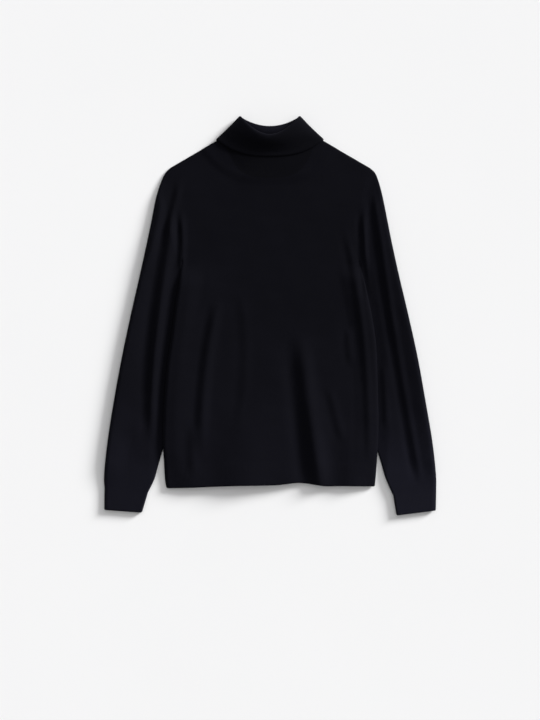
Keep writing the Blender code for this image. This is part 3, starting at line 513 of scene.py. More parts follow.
def unevenness(plan, size, seed):
    """The slight waviness of laid knit: soft waves of many lengths that run all ways."""
    draw = np.random.RandomState(seed)
    total = np.zeros(plan.shape[:-1])
    for _ in range(WAVES):
        angle, length, phase = draw.uniform(0, np.pi), draw.uniform(*WAVE_LENGTHS), draw.uniform(0, 2 * np.pi)
        along = plan[..., 0] * np.cos(angle) + plan[..., 1] * np.sin(angle)
        total += np.sin(2 * np.pi * along / length + phase)
    return size * total / np.sqrt(WAVES)


def gap_to_side(plan):
    """Distance along X from each plan point to the nearer side edge of the body."""
    x, y = plan[..., 0], plan[..., 1]
    return np.minimum(x - SIDE_LEFT.x_at(y), SIDE_RIGHT.x_at(y) - x)


def lift_under(plan):
    """How far the back panel's underside is off the surface: over the sleeves' edges and over the collar."""
    x, y = plan[..., 0], plan[..., 1]
    along = along_slope(PASS_BELOW_ARM, y) * along_slope(PASS_ABOVE_HEM, y)
    over_sleeve = SLEEVE_PASS * along_slope(PASS_NEAR_SIDE, gap_to_side(plan)) * along
    side_x, side_y = TURN_DOWN_SIDE
    across = np.maximum(np.abs(x) - TURN_DOWN_FLAT, 0) / side_x
    edge = side_y + (TURN_DOWN_BACK_Y - side_y) * (1 - across**TURN_DOWN_POWER)
    over_collar = COLLAR_PASS * along_slope(PASS_ON_COLLAR, y - edge)
    return np.maximum(over_sleeve, over_collar)


def body_air(plan):
    """Air under the front panel: a little on the chest, and more towards the hem and the side edges."""
    x, y = plan[..., 0], plan[..., 1]
    from_left, from_right = x - SIDE_LEFT.x_at(y), SIDE_RIGHT.x_at(y) - x
    near = (LEFT_SIDE_AIR * along_slope(WIDE_OF_SIDE, from_left)
            + RIGHT_SIDE_AIR * along_slope(NEAR_SIDE, from_right))
    side = near * along_slope(BELOW_ARM, y)
    belly = BELLY_AIR * along_slope(TOWARDS_HEM, y) * along_slope(OFF_SIDE, np.minimum(from_left, from_right))
    hem = HEM_AIR * bump(x - HEM_AIR_X, HEM_AIR_REACH) * along_slope(LOW_BODY, y)
    neck = NECK_AIR * bump(x, NECK_AIR_REACH) * along_slope(BELOW_COLLAR, y)
    folds = fold_heights(plan, FRONT_FOLDS + ARMHOLE_FOLDS)
    return never_below_zero(LEAST_AIR + side + belly + hem + neck + folds)


def lean(plan):
    """Which way a panel runs from its top edge: outwards below the neck, and along the armhole at the tip."""
    x = plan[..., 0]
    below_neck = np.minimum(np.abs(x) / NECK_HALF, 1)
    along_shoulder = np.clip((np.abs(x) - NECK_HALF) / (ARMHOLES[-1].right - NECK_HALF), 0, 1)
    outwards = LEAN_AT_NECK * below_neck + (LEAN_AT_TIP - LEAN_AT_NECK) * along_shoulder
    direction = np.stack([np.sign(x) * outwards, -np.ones(x.shape)], axis=-1)
    return direction / np.linalg.norm(direction, axis=-1, keepdims=True)


def body_heights(plan, panel, waviness):
    """Height of the outer skin of the front or back at the plan points.

    Within reach a of a free edge the skin rounds off as a quarter ellipse: with d the distance to the edge
    and cos t = 1 - d / a, it stands at seam + (full - seam) sin t.
    """
    under = lift_under(plan)
    waves = unevenness(plan, waviness, panel.seed)
    if panel.front:
        full = under + TWO_LAYERS + body_air(plan) + waves
    else:
        full = under + np.maximum(fold_heights(plan, BACK_FOLDS) + waves, 0)
    turn = np.full(under.shape, -1.0)
    seam = under + SIDE_SEAM_RISE
    side_reach = SIDE_TURN if panel.front else BACK_TURN
    edges = ((SIDE_LEFT, side_reach, SIDE_SEAM_RISE), (SIDE_RIGHT, side_reach, SIDE_SEAM_RISE),
             (SHOULDER_LEFT, SHOULDER_TURN, SHOULDER_SEAM_RISE),
             (SHOULDER_RIGHT, SHOULDER_TURN, SHOULDER_SEAM_RISE))
    for path, reach, rise in edges:
        nearness = 1 - path.distance(plan) / reach
        closer = nearness > turn
        turn = np.where(closer, nearness, turn)
        seam = np.where(closer, under + rise, seam)
    level = np.clip(turn, 0, 1)
    return seam + (full - seam) * np.sqrt(1 - level * level)


def neck_line(panel):
    """The neckline in plan, from left to right, as (x / half) ^ 3.4 + (fall / drop) ^ 1.5 = 1."""
    across = -NECK_HALF * np.cos(np.linspace(0, np.pi, NECK_STEPS + 1))
    fall = np.clip(1 - np.abs(across / NECK_HALF)**NECK_SIDE_POWER, 0, 1)**(1 / NECK_FALL_POWER)
    return np.column_stack([across, NECK_TOP_Y - panel.neck_drop * fall])


def resampled(line, shares):
    """Points at the given shares of a line's length."""
    along = run_shares(line)
    return np.column_stack([np.interp(shares, along, line[:, k]) for k in range(line.shape[1])])


def spans_for(length, step):
    """How many spans of about one step fit a length."""
    return max(2, int(round(length / step)))


def top_edge(panel):
    """Top of a panel from the left shoulder tip, round the neckline, to the right shoulder tip."""
    steps = spaced(SHOULDER_LEFT.length, SHOULDER_TURN, 0, spans_for(SHOULDER_LEFT.length, PANEL_STEP))
    left = SHOULDER_LEFT.at(steps)
    right = SHOULDER_RIGHT.at(steps * SHOULDER_RIGHT.length / SHOULDER_LEFT.length)[::-1]
    neck = neck_line(panel)
    spans = spans_for(2 * (NECK_HALF + panel.neck_drop), PANEL_STEP)
    return np.vstack([left[:-1], resampled(neck, np.linspace(0, 1, spans + 1)), right[1:]])


def hem_points(along, rise):
    """Points along the hem, rise above its edge, at the shares at which grid lines leave the top edge."""
    close = ROUND_STEPS + 1
    left, right = HEM_EDGE.points[0, 0], HEM_EDGE.points[-1, 0]
    near = spaced(2 * SIDE_TURN, SIDE_TURN, 0, 2)[:close]
    ends = (left + SIDE_TURN, right - SIDE_TURN)
    inner = np.interp(along[close:-close], (along[close - 1], along[-close]), ends)
    x = np.concatenate([left + near, inner, (right - near)[::-1]])
    y = HEM_EDGE.y_at(x) + rise
    side_left, side_right = SIDE_LEFT.x_at(y[0]), SIDE_RIGHT.x_at(y[-1])
    x = side_left + (x - left) * (side_right - side_left) / (right - left)
    return np.column_stack([x, y])


def side_points(path, armhole, low):
    """Grid points up one side of a panel, from the hem rib to the underarm and on up the armhole."""
    y = np.linspace(low, UNDERARM_Y, spans_for(UNDERARM_Y + HEM_DEPTH - SIDES[0].y, PANEL_STEP))[:-1]
    spans = spans_for(ARMHOLE_LEFT.length, PANEL_STEP)
    above = armhole.length - spaced(armhole.length, SHOULDER_TURN, 0, spans)[::-1]
    return np.vstack([np.column_stack([path.x_at(y), y]), armhole.at(above)])


def grid_shares(bottom, top, left, right):
    """How far along each column and how far up each row lies: the means of the shares on facing edges."""
    u = ((run_shares(bottom) + run_shares(top)) / 2)[None, :, None]
    v = ((run_shares(left) + run_shares(right)) / 2)[:, None, None]
    return u, v


def panel_plan(panel):
    """Plan grid of a panel, from the hem rib's top up to the shoulders and neck.

    Each grid line is a cubic that leaves the top edge along its lean and arrives straight down at the rib.
    The two outermost are then drawn onto the sides, and the others follow them in proportion.
    """
    top = top_edge(panel)
    bottom = hem_points(run_shares(top), HEM_DEPTH + panel.shorter)
    left = side_points(SIDE_LEFT, ARMHOLE_LEFT, bottom[0, 1])
    right = side_points(SIDE_RIGHT, ARMHOLE_RIGHT, bottom[-1, 1])
    u, v = grid_shares(bottom, top, left, right)
    length = np.linalg.norm(top - bottom, axis=1)[:, None]
    plan = cubic(bottom, top, length * np.array([0.0, 1.0]), -length * lean(top), v)
    return plan + (1 - u) * (left[:, None] - plan[:, :1]) + u * (right[:, None] - plan[:, -1:])


def stretched(bottom, top, left, right):
    """Plan grid between four edges: the ruled surfaces between facing edges, less that of the corners."""
    u, v = grid_shares(bottom, top, left, right)
    rows = (1 - v) * bottom[None] + v * top[None]
    columns = (1 - u) * left[:, None] + u * right[:, None]
    corners = ((1 - u) * (1 - v) * bottom[0] + u * (1 - v) * bottom[-1]
               + (1 - u) * v * top[0] + u * v * top[-1])
    return rows + columns - corners


def cuff_line(outer, inner, spans):
    """A straight row across a sleeve, with its points close together at both edges."""
    width = np.linalg.norm(inner - outer)
    share = spaced(width, SLEEVE_TURN + SLEEVE_TURN_GAIN, INNER_TURN, spans) / width
    return outer + share[:, None] * (inner - outer)


def sleeve_plan(arm):
    """Plan grids of a sleeve and its cuff, each row from the outer edge to the inner one, and their edges."""
    spans = spans_for(arm.armhole.length, SLEEVE_STEP)
    steps = spaced(arm.armhole.length, SHOULDER_TURN, INNER_TURN, spans)
    top = arm.armhole.at(arm.armhole.length - steps)
    outer_path = Path(top[0], *arm.outer)
    inner_path = Path(top[-1], *arm.inner)
    share = np.linspace(0, 1, spans_for(outer_path.length, SLEEVE_STEP) + 1)
    outer_points = outer_path.at(share * outer_path.length)
    inner_points = inner_path.at(share * inner_path.length)
    plan = stretched(top, cuff_line(outer_points[-1], inner_points[-1], spans), outer_points, inner_points)
    ends = np.array(arm.cuff_end)
    depth = np.linalg.norm(ends[0] - outer_points[-1])
    run = np.linspace(0, 1, spans_for(depth, RIB_ROW_STEP) + 1)[:, None]
    outer_side = outer_points[-1] + run * (ends[0] - outer_points[-1])
    inner_side = inner_points[-1] + run * (ends[1] - inner_points[-1])
    cuff = np.stack([cuff_line(a, b, spans) for a, b in zip(outer_side, inner_side)])
    cuff_paths = Path(outer_points[-1], ends[0]), Path(inner_points[-1], ends[1])
    return plan, cuff, (outer_path, inner_path), cuff_paths


def sleeve_heights(plan, share, edges, waviness):
    """Heights of a flat tube's upper and lower skin between its outer and inner edge.

    share is 0 at the armhole and 1 at the cuff. The inner edge is thin where it passes under the body.
    """
    y = plan[..., 1]
    outer_path, inner_path = edges
    from_outer = outer_path.distance(plan)
    from_inner = inner_path.distance(plan)
    grown = along_slope(SLEEVE_GROWS, share)
    sleeve = along_slope(ABOVE_CUFF, y)
    tucked = along_slope(TUCKS_UNDER, y)
    free = 1 - tucked + tucked * along_slope(FREE_OF_BODY[int(plan[0, 0, 0] > 0)], -gap_to_side(plan))
    air = (SLEEVE_AIR + SLEEVE_OUTER_AIR * grown * along_slope(NEAR_SIDE, from_outer)
           + fold_heights(plan, SLEEVE_FOLDS + ARMHOLE_FOLDS) + unevenness(plan, waviness, SLEEVE_SEED))
    full = TWO_LAYERS + free * (never_below_zero(air) * sleeve + CUFF_AIR * (1 - sleeve))
    outer_turn = np.clip(1 - from_outer / (SLEEVE_TURN + SLEEVE_TURN_GAIN * grown), 0, 1)
    inner_turn = np.clip(1 - from_inner / INNER_TURN, 0, 1)
    level = np.maximum(outer_turn, inner_turn)
    steep = np.sqrt(1 - level * level)
    outer_rise = OUTER_RISE + OUTER_RISE_GAIN * grown * sleeve + CUFF_RISE_GAIN * (1 - sleeve)
    side = ease(from_inner / (from_inner + from_outer))
    seam = INNER_RISE + (outer_rise - INNER_RISE) * side
    return seam + (full - seam) * steep, seam * (1 - steep)


class Arm(NamedTuple):
    """The edges of one sleeve and of its cuff."""
    side: str
    armhole: Path
    outer: tuple
    inner: tuple
    cuff_end: tuple
    lighter_above: float
    lighter_below: float

    def tone_and_light(self, y):
        """How much lighter the sleeve's colour is made at the levels y."""
        return self.lighter_above + (self.lighter_below - self.lighter_above) * along_slope(SLEEVE_LIGHTER_BELOW, y)


# the last two numbers: how much lighter the colour is made high on the sleeve and towards the cuff
ARMS = (Arm("left", ARMHOLE_LEFT, OUTER_LEFT, INNER_LEFT, CUFF_END_LEFT, 0.0, 0.84),
        Arm("right", ARMHOLE_RIGHT, OUTER_RIGHT, INNER_RIGHT, CUFF_END_RIGHT, 0.16, 1.60))


def sleeve_rings(arm, waviness):
    """Rings of a sleeve. At the armhole it takes the heights of the front and back."""
    plan, _, edges, _ = sleeve_plan(arm)
    share = np.linspace(0, 1, plan.shape[0])[:, None] * np.ones(plan.shape[1])
    upper, lower = sleeve_heights(plan, share, edges, waviness)
    seam_plan = plan[:1]
    join = along_slope(SLEEVE_JOINS, share)
    sewn = (body_heights(seam_plan, FRONT, waviness) + fold_heights(plan, ARMHOLE_FOLDS)
            - fold_heights(seam_plan, ARMHOLE_FOLDS))
    upper = join * upper + (1 - join) * sewn
    lower = join * lower + (1 - join) * body_heights(seam_plan, BACK, waviness)
    return close_tube(plan, upper, lower)


def cuff_rings(arm, sizes):
    """Rings of a ribbed cuff, from the sleeve's seam to the open end."""
    _, plan, _, edges = sleeve_plan(arm)
    upper, lower = sleeve_heights(plan, np.ones(plan.shape[:2]), edges, sizes.waviness)
    rings = close_tube(plan, upper, lower)
    ribs = ribs_along(rings[0], sizes.rib_pitch)
    rings = np.stack([evenly_round(ring, ribs * RIB_POINTS) for ring in rings])
    return ribbed(rings, ribs, sizes, closed=True, outward=1 if arm.side == "right" else -1)


def ribs_along(line, pitch):
    """How many whole ribs fit along a line."""
    return int(round(run_lengths(line)[-1] / pitch))


def close_tube(plan, upper, lower):
    """Rings of a flat tube: along the upper skin, then back along the lower one, sharing the two edges."""
    over, under = np.dstack([plan, upper]), np.dstack([plan, lower])
    middle = (over[:, (0, -1)] + under[:, (0, -1)]) / 2
    return np.concatenate([middle[:, :1], over[:, 1:-1], middle[:, 1:], under[:, -2:0:-1]], axis=1)


def evenly_round(ring, count):
    """A closed ring as count points at equal steps round it."""
    return resampled(np.vstack([ring, ring[:1]]), np.linspace(0, 1, count, endpoint=False))


def grid_normals(points, closed):
    """Unit normals of a grid of points, from its steps along both of its ways."""
    if closed:
        around = np.roll(points, -1, axis=1) - np.roll(points, 1, axis=1)
    else:
        around = np.gradient(points, axis=1)
    normal = np.cross(around, np.gradient(points, axis=0))
    return normal / np.linalg.norm(normal, axis=2, keepdims=True)


def ribbed(points, ribs, sizes, closed, outward):
    """A grid with ribs raised along its columns: relief times cos(2 pi x rib number), on the grid's normals.

    outward is 1 where the normals point out of the cloth, and -1 where they point into it. The ribs grow out
    of the first row, a seam. The last row is a free edge, and those near it draw in by a quarter circle.
    """
    columns = points.shape[1]
    place = np.arange(columns) / (columns if closed else columns - 1) * ribs
    run = np.vstack([np.zeros(columns), np.cumsum(np.linalg.norm(np.diff(points, axis=0), axis=2), axis=0)])
    level = np.clip(1 - (run[-1:] - run) / EDGE_ROLL, 0, 1)
    grown = ease(run / RIBS_GROW)
    proud = sizes.rib_relief * np.cos(2 * np.pi * place)[None] + sizes.rib_relief
    relief = proud * grown * (1 - level) - EDGE_ROLL / 2 * (1 - np.sqrt(1 - level * level))
    raised = points + outward * grid_normals(points, closed) * relief[..., None]
    raised[..., 2] = np.maximum(raised[..., 2], points[..., 2].min())
    return raised


def hem_grid(panel, sizes):
    """Grid of one half of the hem rib, from its seam down to its edge."""
    along = run_shares(top_edge(panel))
    levels = np.linspace(HEM_DEPTH + panel.shorter, panel.shorter, spans_for(HEM_DEPTH, RIB_ROW_STEP) + 1)
    plan = np.stack([hem_points(along, level) for level in levels])
    grid = np.dstack([plan, body_heights(plan, panel, sizes.waviness)])
    ribs = ribs_along(grid[0], sizes.rib_pitch)
    shares = np.linspace(0, 1, ribs * RIB_POINTS + 1)
    grid = np.stack([resampled(row, shares) for row in grid])
    if not panel.front:
        grid = grid[:, ::-1]
    return ribbed(grid, ribs, sizes, closed=False, outward=-1)


def ring_quarter(ring, front):
    """A quarter of a ring of the collar, from its side fold to the middle of its front or back.

    In plan it falls from the side by (1 - (x / half) ^ side_power) ^ (1 / fall_power) of the whole fall. Its
    height first rounds the side fold as a quarter circle, and then eases to the height of the middle.
    """
    y_end, z_end, bend = ((ring.y_front, ring.z_front, ring.bend) if front
                          else (ring.y_back, ring.z_back, -ring.bend))
    angles = np.linspace(0, np.pi / 2, ARC_STEPS + 1)
    x = ring.half * np.cos(angles)
    fall = np.clip(1 - (x / ring.half)**ring.side_power, 0, 1)**(1 / ring.fall_power)
    line = np.column_stack([x, ring.y_side + (y_end - ring.y_side) * fall])
    along = run_lengths(line)
    turn = ring.bend * (1 - np.cos(np.linspace(0, np.pi / 2, ROUND_STEPS + 1)))
    steps = np.concatenate([turn, np.linspace(turn[-1], along[-1], RING_POINTS)[1:]])
    angle = np.interp(steps, along, angles)
    quarter_circle = np.sqrt(1 - np.clip(1 - steps / ring.bend, 0, 1)**2)
    fold_edge = ring.z_side + bend * quarter_circle
    place = np.column_stack([np.interp(steps, along, line[:, k]) for k in (0, 1)])
    if front:
        risen = 1 - (1 - np.clip(np.sin(angle) / np.sin(np.radians(ring.front_turn)), 0, 1))**2
    else:
        risen = along_slope(COLLAR_BACK_RISES, place[:, 0])
    return np.column_stack([place, fold_edge + (z_end - fold_edge) * risen])


def collar_grid(sizes):
    """Middle of the collar's wall, a ring for each step from the neck seam over the fold to the free edge."""
    values = through_knots(np.array(COLLAR_RINGS), np.linspace(0, 1, sizes.collar_rows))
    ribs = 4 * int(round(sizes.collar_round / sizes.rib_pitch / 4))
    mirror = np.array([-1.0, 1.0, 1.0])
    rings = []
    for row in values:
        front, back = (ring_quarter(Ring(*row), side) for side in (True, False))
        ring = np.vstack([front, front[-2::-1] * mirror, back[1:] * mirror, back[-2:0:-1]])
        rings.append(evenly_round(ring, ribs * COLLAR_RIB_POINTS))
    rings = np.array(rings)
    count = spans_for(COLLAR_SEWN, sizes.collar_length / sizes.collar_rows)
    plan = rings[:count, :, :2]
    on_panel = body_heights(plan, FRONT, sizes.waviness) - COLLAR_WALL / 2
    freed = ease(np.arange(count) / count)[:, None]
    is_front = ease((COLLAR_RINGS[0].y_side - plan[..., 1]) / COLLAR_FRONT_STARTS - 1)
    sewn = on_panel + freed * (rings[:count, :, 2] - on_panel)
    rings[:count, :, 2] += is_front * (sewn - rings[:count, :, 2])
    return ribbed(rings, ribs, sizes, closed=True, outward=1)


def placed(points):
    """Points moved from the tables' axes to the frame's, where the whole sweater's box is centred."""
    cuff_low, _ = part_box("cuff_right")
    left = Path(ARMHOLE_LEFT.points[-1], *OUTER_LEFT, CUFF_END_LEFT[0]).points[:, 0].min()
    return points - np.array([left - CAD_LOW.x, CUFF_END_RIGHT[1][1] - cuff_low.y, 0.0])


def add_cloth(node, slot, points, uv, tone_and_light, settings, closed=True, wall=WALL, offset=-1):
    """A shell that stands for a solid: the grid's faces with their UVs in metres, thickened by wall.

    uv has one more column than points where the grid closes round. The argument after uv is a share added to
    the
    colour at each point: lighter towards the hem and cuffs, and painted shade, light and highlight on the
    collar.
    """
    rows, columns = points.shape[:2]
    numbers = np.arange(rows * columns).reshape(rows, columns)
    if closed:
        numbers = np.hstack([numbers, numbers[:, :1]])
    corners = [grid[rows_cut, columns_cut].reshape(-1, *grid.shape[2:])
               for grid in (numbers, uv) for rows_cut, columns_cut in GRID_CORNERS]
    faces, face_uvs = np.stack(corners[:4], axis=1), np.stack(corners[4:], axis=1)
    name = slot + "_" + node
    mesh = bpy.data.meshes.new(name)
    mesh.from_pydata(placed(points.reshape(-1, 3)).tolist(), [], faces.tolist())
    layer = mesh.uv_layers.new(name=STITCH_UV)
    layer.data.foreach_set("uv", face_uvs.astype(np.float32).ravel())
    # per-point share added to the colour: lighter towards the hem and cuffs, painted shade, painted light and
    # a painted highlight on the collar
    tone_and_painted_light = mesh.attributes.new(TONE_AND_PAINTED_LIGHT, "FLOAT", "POINT")
    tone_and_painted_light.data.foreach_set("value", tone_and_light.astype(np.float32).ravel())
    mesh.shade_smooth()
    mark_rim_sharp(mesh, rows, columns, closed)
    mesh.materials.append(knit_material(slot, settings))
    piece = bpy.data.objects.new(name, mesh)
    bpy.context.scene.collection.objects.link(piece)
    thickness = piece.modifiers.new("wall", "SOLIDIFY")
    thickness.thickness = wall
    thickness.offset = offset
    thickness.use_quality_normals = True
    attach(piece, "root")
    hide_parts(node)


def mark_rim_sharp(mesh, rows, columns, closed):
    """Marks the grid's open edges sharp, so that the shading of the cloth runs level into its seams."""
    ends = np.empty(2 * len(mesh.edges), np.int32)
    mesh.edges.foreach_get("vertices", ends)
    row, column = np.divmod(ends.reshape(-1, 2), columns)
    on_row = (row[:, 0] == row[:, 1]) & np.isin(row[:, 0], (0, rows - 1))
    on_column = (column[:, 0] == column[:, 1]) & np.isin(column[:, 0], (0, columns - 1)) & (not closed)
    sharp = mesh.attributes.new("sharp_edge", "BOOLEAN", "EDGE")
    sharp.data.foreach_set("value", on_row | on_column)


def down_rows(grid):
    """Mean distance along a grid's columns at each row, counted downwards."""
    along = np.linalg.norm(np.diff(grid, axis=0), axis=2).mean(axis=1)
    return -np.concatenate([[0], np.cumsum(along)])[:, None]


def tube_uv(rings):
    """UVs of a tube in metres: the distance round each ring and the mean distance along the tube."""
    closed = np.concatenate([rings, rings[:, :1]], axis=1)
    around = np.linalg.norm(np.diff(closed, axis=1), axis=2)
    u = np.hstack([np.zeros((len(rings), 1)), np.cumsum(around, axis=1)])
    return np.dstack(np.broadcast_arrays(u, down_rows(closed)))


def rib_uv(grid, points_across, pitch, closed=True):
    """UVs of a ribbed grid: one pitch for each rib, and the mean distance along the ribs."""
    ribs = grid.shape[1] // points_across
    u = np.linspace(0, ribs * pitch, grid.shape[1] + closed)
    return np.dstack(np.broadcast_arrays(u[None], down_rows(grid)))


class Wiring:
    """Adds nodes to a node tree and joins them, with numbers or sockets as inputs."""

    def __init__(self, tree):
        self.tree = tree

    def node(self, kind, values=(), **settings):
        """A node with some of its inputs given, by name or number."""
        made = self.tree.nodes.new(kind)
        for key, value in settings.items():
            setattr(made, key, value)
        self.fill(made.inputs, dict(values))
        return made

    def fill(self, sockets, values):
        """Joins each named or numbered socket to its input, or sets the socket's own value."""
        for key, value in values.items():
            if isinstance(value, bpy.types.NodeSocket):
                self.tree.links.new(value, sockets[key])
            else:
                sockets[key].default_value = value

    def math(self, operation, *values):
        """The result of one Math node."""
        return self.node("ShaderNodeMath", dict(enumerate(values)), operation=operation).outputs[0]

    def tones(self, share, colour, dark, light):
        """A colour that runs from dark to light times itself as share runs from 0 to 1.

        Inputs 6 and 7 of the Mix node are its two colours, and output 2 is the mixed one.
        """
        darkest, lightest = ((*(tone * channel for channel in colour), 1) for tone in (dark, light))
        return self.node("ShaderNodeMix", {0: share, 6: darkest, 7: lightest}, data_type="RGBA").outputs[2]


def new_group(name, sizes, outputs):
    """A shader node group that takes a place and some sizes: its tree, wiring, inputs and outputs."""
    tree = bpy.data.node_groups.new(name, "ShaderNodeTree")
    tree.interface.new_socket("Place", in_out="INPUT", socket_type="NodeSocketVector")
    for label, default in sizes.items():
        socket = tree.interface.new_socket(label, in_out="INPUT", socket_type="NodeSocketFloat")
        socket.default_value = default
    for label in outputs:
        tree.interface.new_socket(label, in_out="OUTPUT", socket_type="NodeSocketFloat")
    wire = Wiring(tree)
    return tree, wire, wire.node("NodeGroupInput").outputs, wire.node("NodeGroupOutput").inputs


def knit_stitch_group():
    """Plain knit as heights: each wale is two legs that lean apart upwards, a course for each stitch.

    With s the distance from the wale's middle as a share of its half, a leg bulges as 1 - (2 s - 1) ^ 2, and
    each stitch along it as sin(pi fract(v / course - LEG_LEAN s)).
    """
    tree, wire, given, out = new_group("knit_stitch", {"Wale": WALE, "Course": COURSE}, ("Height", "Gap"))
    axes = wire.node("ShaderNodeSeparateXYZ", {0: given["Place"]}).outputs
    across = wire.math("FRACT", wire.math("DIVIDE", axes[0], given["Wale"]))
    side = wire.math("MULTIPLY", wire.math("ABSOLUTE", wire.math("SUBTRACT", across, 0.5)), 2.0)
    from_leg = wire.math("SUBTRACT", wire.math("MULTIPLY", side, 2.0), 1.0)
    bulge = wire.math("SUBTRACT", 1.0, wire.math("MULTIPLY", from_leg, from_leg))
    course = wire.math("DIVIDE", axes[1], given["Course"])
    phase = wire.math("FRACT", wire.math("SUBTRACT", course, wire.math("MULTIPLY", side, LEG_LEAN)))
    stitch = wire.math("SINE", wire.math("MULTIPLY", phase, np.pi))
    rounded = wire.math("POWER", bulge, LEG_ROUNDNESS)
    height = wire.math("MULTIPLY", rounded, wire.math("MULTIPLY_ADD", stitch, STITCH_SHARE, 1 - STITCH_SHARE))
    wire.fill(out, {"Height": height, "Gap": wire.math("SUBTRACT", 1.0, height)})
    return tree


def yarn_nap_group():
    """The yarn's own unevenness: Cloudy is the broad change of tone over the cloth, Fibre its fine nap."""
    scales = {label + " Scale": scale for label, (scale, _) in NAP_NOISES.items()}
    tree, wire, given, out = new_group("yarn_nap", scales, NAP_NOISES)
    for label, (_, detail) in NAP_NOISES.items():
        noise = wire.node("ShaderNodeTexNoise",
                          {"Vector": given["Place"], "Scale": given[label + " Scale"], "Detail": detail})
        wire.fill(out, {label: noise.outputs[0]})
    return tree


def knit_material(slot, settings):
    """Matt woollen knit: stitches and nap as bump, darker in the gaps, with a soft sheen."""
    look, sizes = settings.look, settings.sizes
    name, yarn, wale = (("rib_knit", look.rib_yarn, sizes.rib_pitch) if slot == "rib"
                        else ("plain_knit", look.panel_yarn, sizes.wale))
    material = bpy.data.materials.get(name)
    if material is not None:
        return material
    material = bpy.data.materials.new(name)
    material.use_nodes = True
    wire = Wiring(material.node_tree)
    groups = bpy.data.node_groups
    stitch = wire.node("ShaderNodeGroup", node_tree=groups.get("knit_stitch") or knit_stitch_group())
    nap = wire.node("ShaderNodeGroup", node_tree=groups.get("yarn_nap") or yarn_nap_group())
    place = wire.node("ShaderNodeUVMap", uv_map=STITCH_UV).outputs["UV"]
    wire.fill(stitch.inputs, {"Place": place, "Wale": wale, "Course": sizes.course})
    wire.fill(nap.inputs, {"Place": wire.node("ShaderNodeTexCoord").outputs["Object"]})
    cloudy, fibre = nap.outputs["Cloudy"], nap.outputs["Fibre"]
    tone = wire.math("MULTIPLY_ADD", cloudy, CLOUDY_SHARE, wire.math("MULTIPLY", fibre, 1 - CLOUDY_SHARE))
    shade = wire.math("SUBTRACT", tone, wire.math("MULTIPLY", stitch.outputs["Gap"], GAP_SHADE))
    # the colour is scaled by 1 plus the per-point share: lighter towards the hem and cuffs, and painted shade,
    # painted light and a painted highlight on the collar
    tone_and_light = wire.node("ShaderNodeAttribute", attribute_name=TONE_AND_PAINTED_LIGHT).outputs["Fac"]
    tinted = wire.node("ShaderNodeVectorMath", {0: wire.tones(shade, yarn, *YARN_TONES)}, operation="SCALE")
    wire.fill(tinted.inputs, {"Scale": wire.math("ADD", tone_and_light, 1.0)})
    rough = wire.node("ShaderNodeMapRange", {"Value": fibre, "To Min": ROUGHNESS[0], "To Max": ROUGHNESS[1]})
    relief = wire.math("MULTIPLY_ADD", fibre, FIBRE_RELIEF, stitch.outputs["Height"])
    bumps = wire.node("ShaderNodeBump",
                      {"Height": relief, "Strength": BUMP_STRENGTH, "Distance": look.stitch_relief})
    wire.fill(material.node_tree.nodes["Principled BSDF"].inputs, {
        "Base Color": tinted.outputs[0], "Roughness": rough.outputs[0], "Normal": bumps.outputs[0],
        "Specular IOR Level": look.specular, "Sheen Weight": look.sheen, "Sheen Roughness": SHEEN_ROUGHNESS,
        "Sheen Tint": (*look.sheen_tint, 1)})
    return material


def length_setting(name, value, text, least=0.0):
    """A setting that is a length."""
    return FloatProperty(name=name, description=text, default=value, min=least, unit="LENGTH")


def plain_setting(name, value, text):
    """A setting that is a plain number."""
    return FloatProperty(name=name, description=text, default=value, min=0)


def angle_setting(name, degrees, text):
    """A setting that is an angle."""
    return FloatProperty(name=name, description=text, default=np.radians(degrees), unit="ROTATION")


def colour_setting(name, value, text):
    """A setting that is a colour."""
    return FloatVectorProperty(name=name, description=text, default=value, size=3, subtype="COLOR",
                               min=0, max=1)


class KnitSizes(bpy.types.PropertyGroup):
    """Sizes of the knit that a maker would change."""
    waviness: length_setting("Waviness", 0.00025, "Height of the slight waves in the laid cloth")
    wale: length_setting("Wale", WALE, "Width of one column of plain stitches", 0.0005)
    course: length_setting("Course", COURSE, "Height of one row of stitches", 0.0005)
    rib_pitch: length_setting("Rib pitch", 0.0026, "Width of one rib and its groove", 0.001)
    rib_relief: length_setting("Rib relief", 0.00008, "Half the height from a groove to a rib")
    collar_round: length_setting("Collar round", 0.36, "Distance round the collar's tube", 0.2)
    collar_length: length_setting("Collar length", 0.143, "Length of the collar's tube before it is turned",
                                  0.05)
    collar_rows: IntProperty(name="Collar rows", description="Grid rows from the neck seam to the free edge",
                             default=72, min=24)


class KnitLook(bpy.types.PropertyGroup):
    """Colours and finish of the yarn."""
    panel_yarn: colour_setting("Panel yarn", (0.0033, 0.0033, 0.0056), "Colour of the plain knit")
    rib_yarn: colour_setting("Rib yarn", (0.0034, 0.0034, 0.0057), "Colour of the ribs")
    sheen_tint: colour_setting("Sheen tint", (0.75, 0.74, 1.0), "Colour of the nap's sheen")
    sheen: plain_setting("Sheen", 0.02, "Strength of the nap's sheen")
    specular: plain_setting("Gloss", 0.05, "Strength of the yarn's mirror-like reflection")
    stitch_relief: length_setting("Stitch relief", 0.00020, "Height of the stitches")


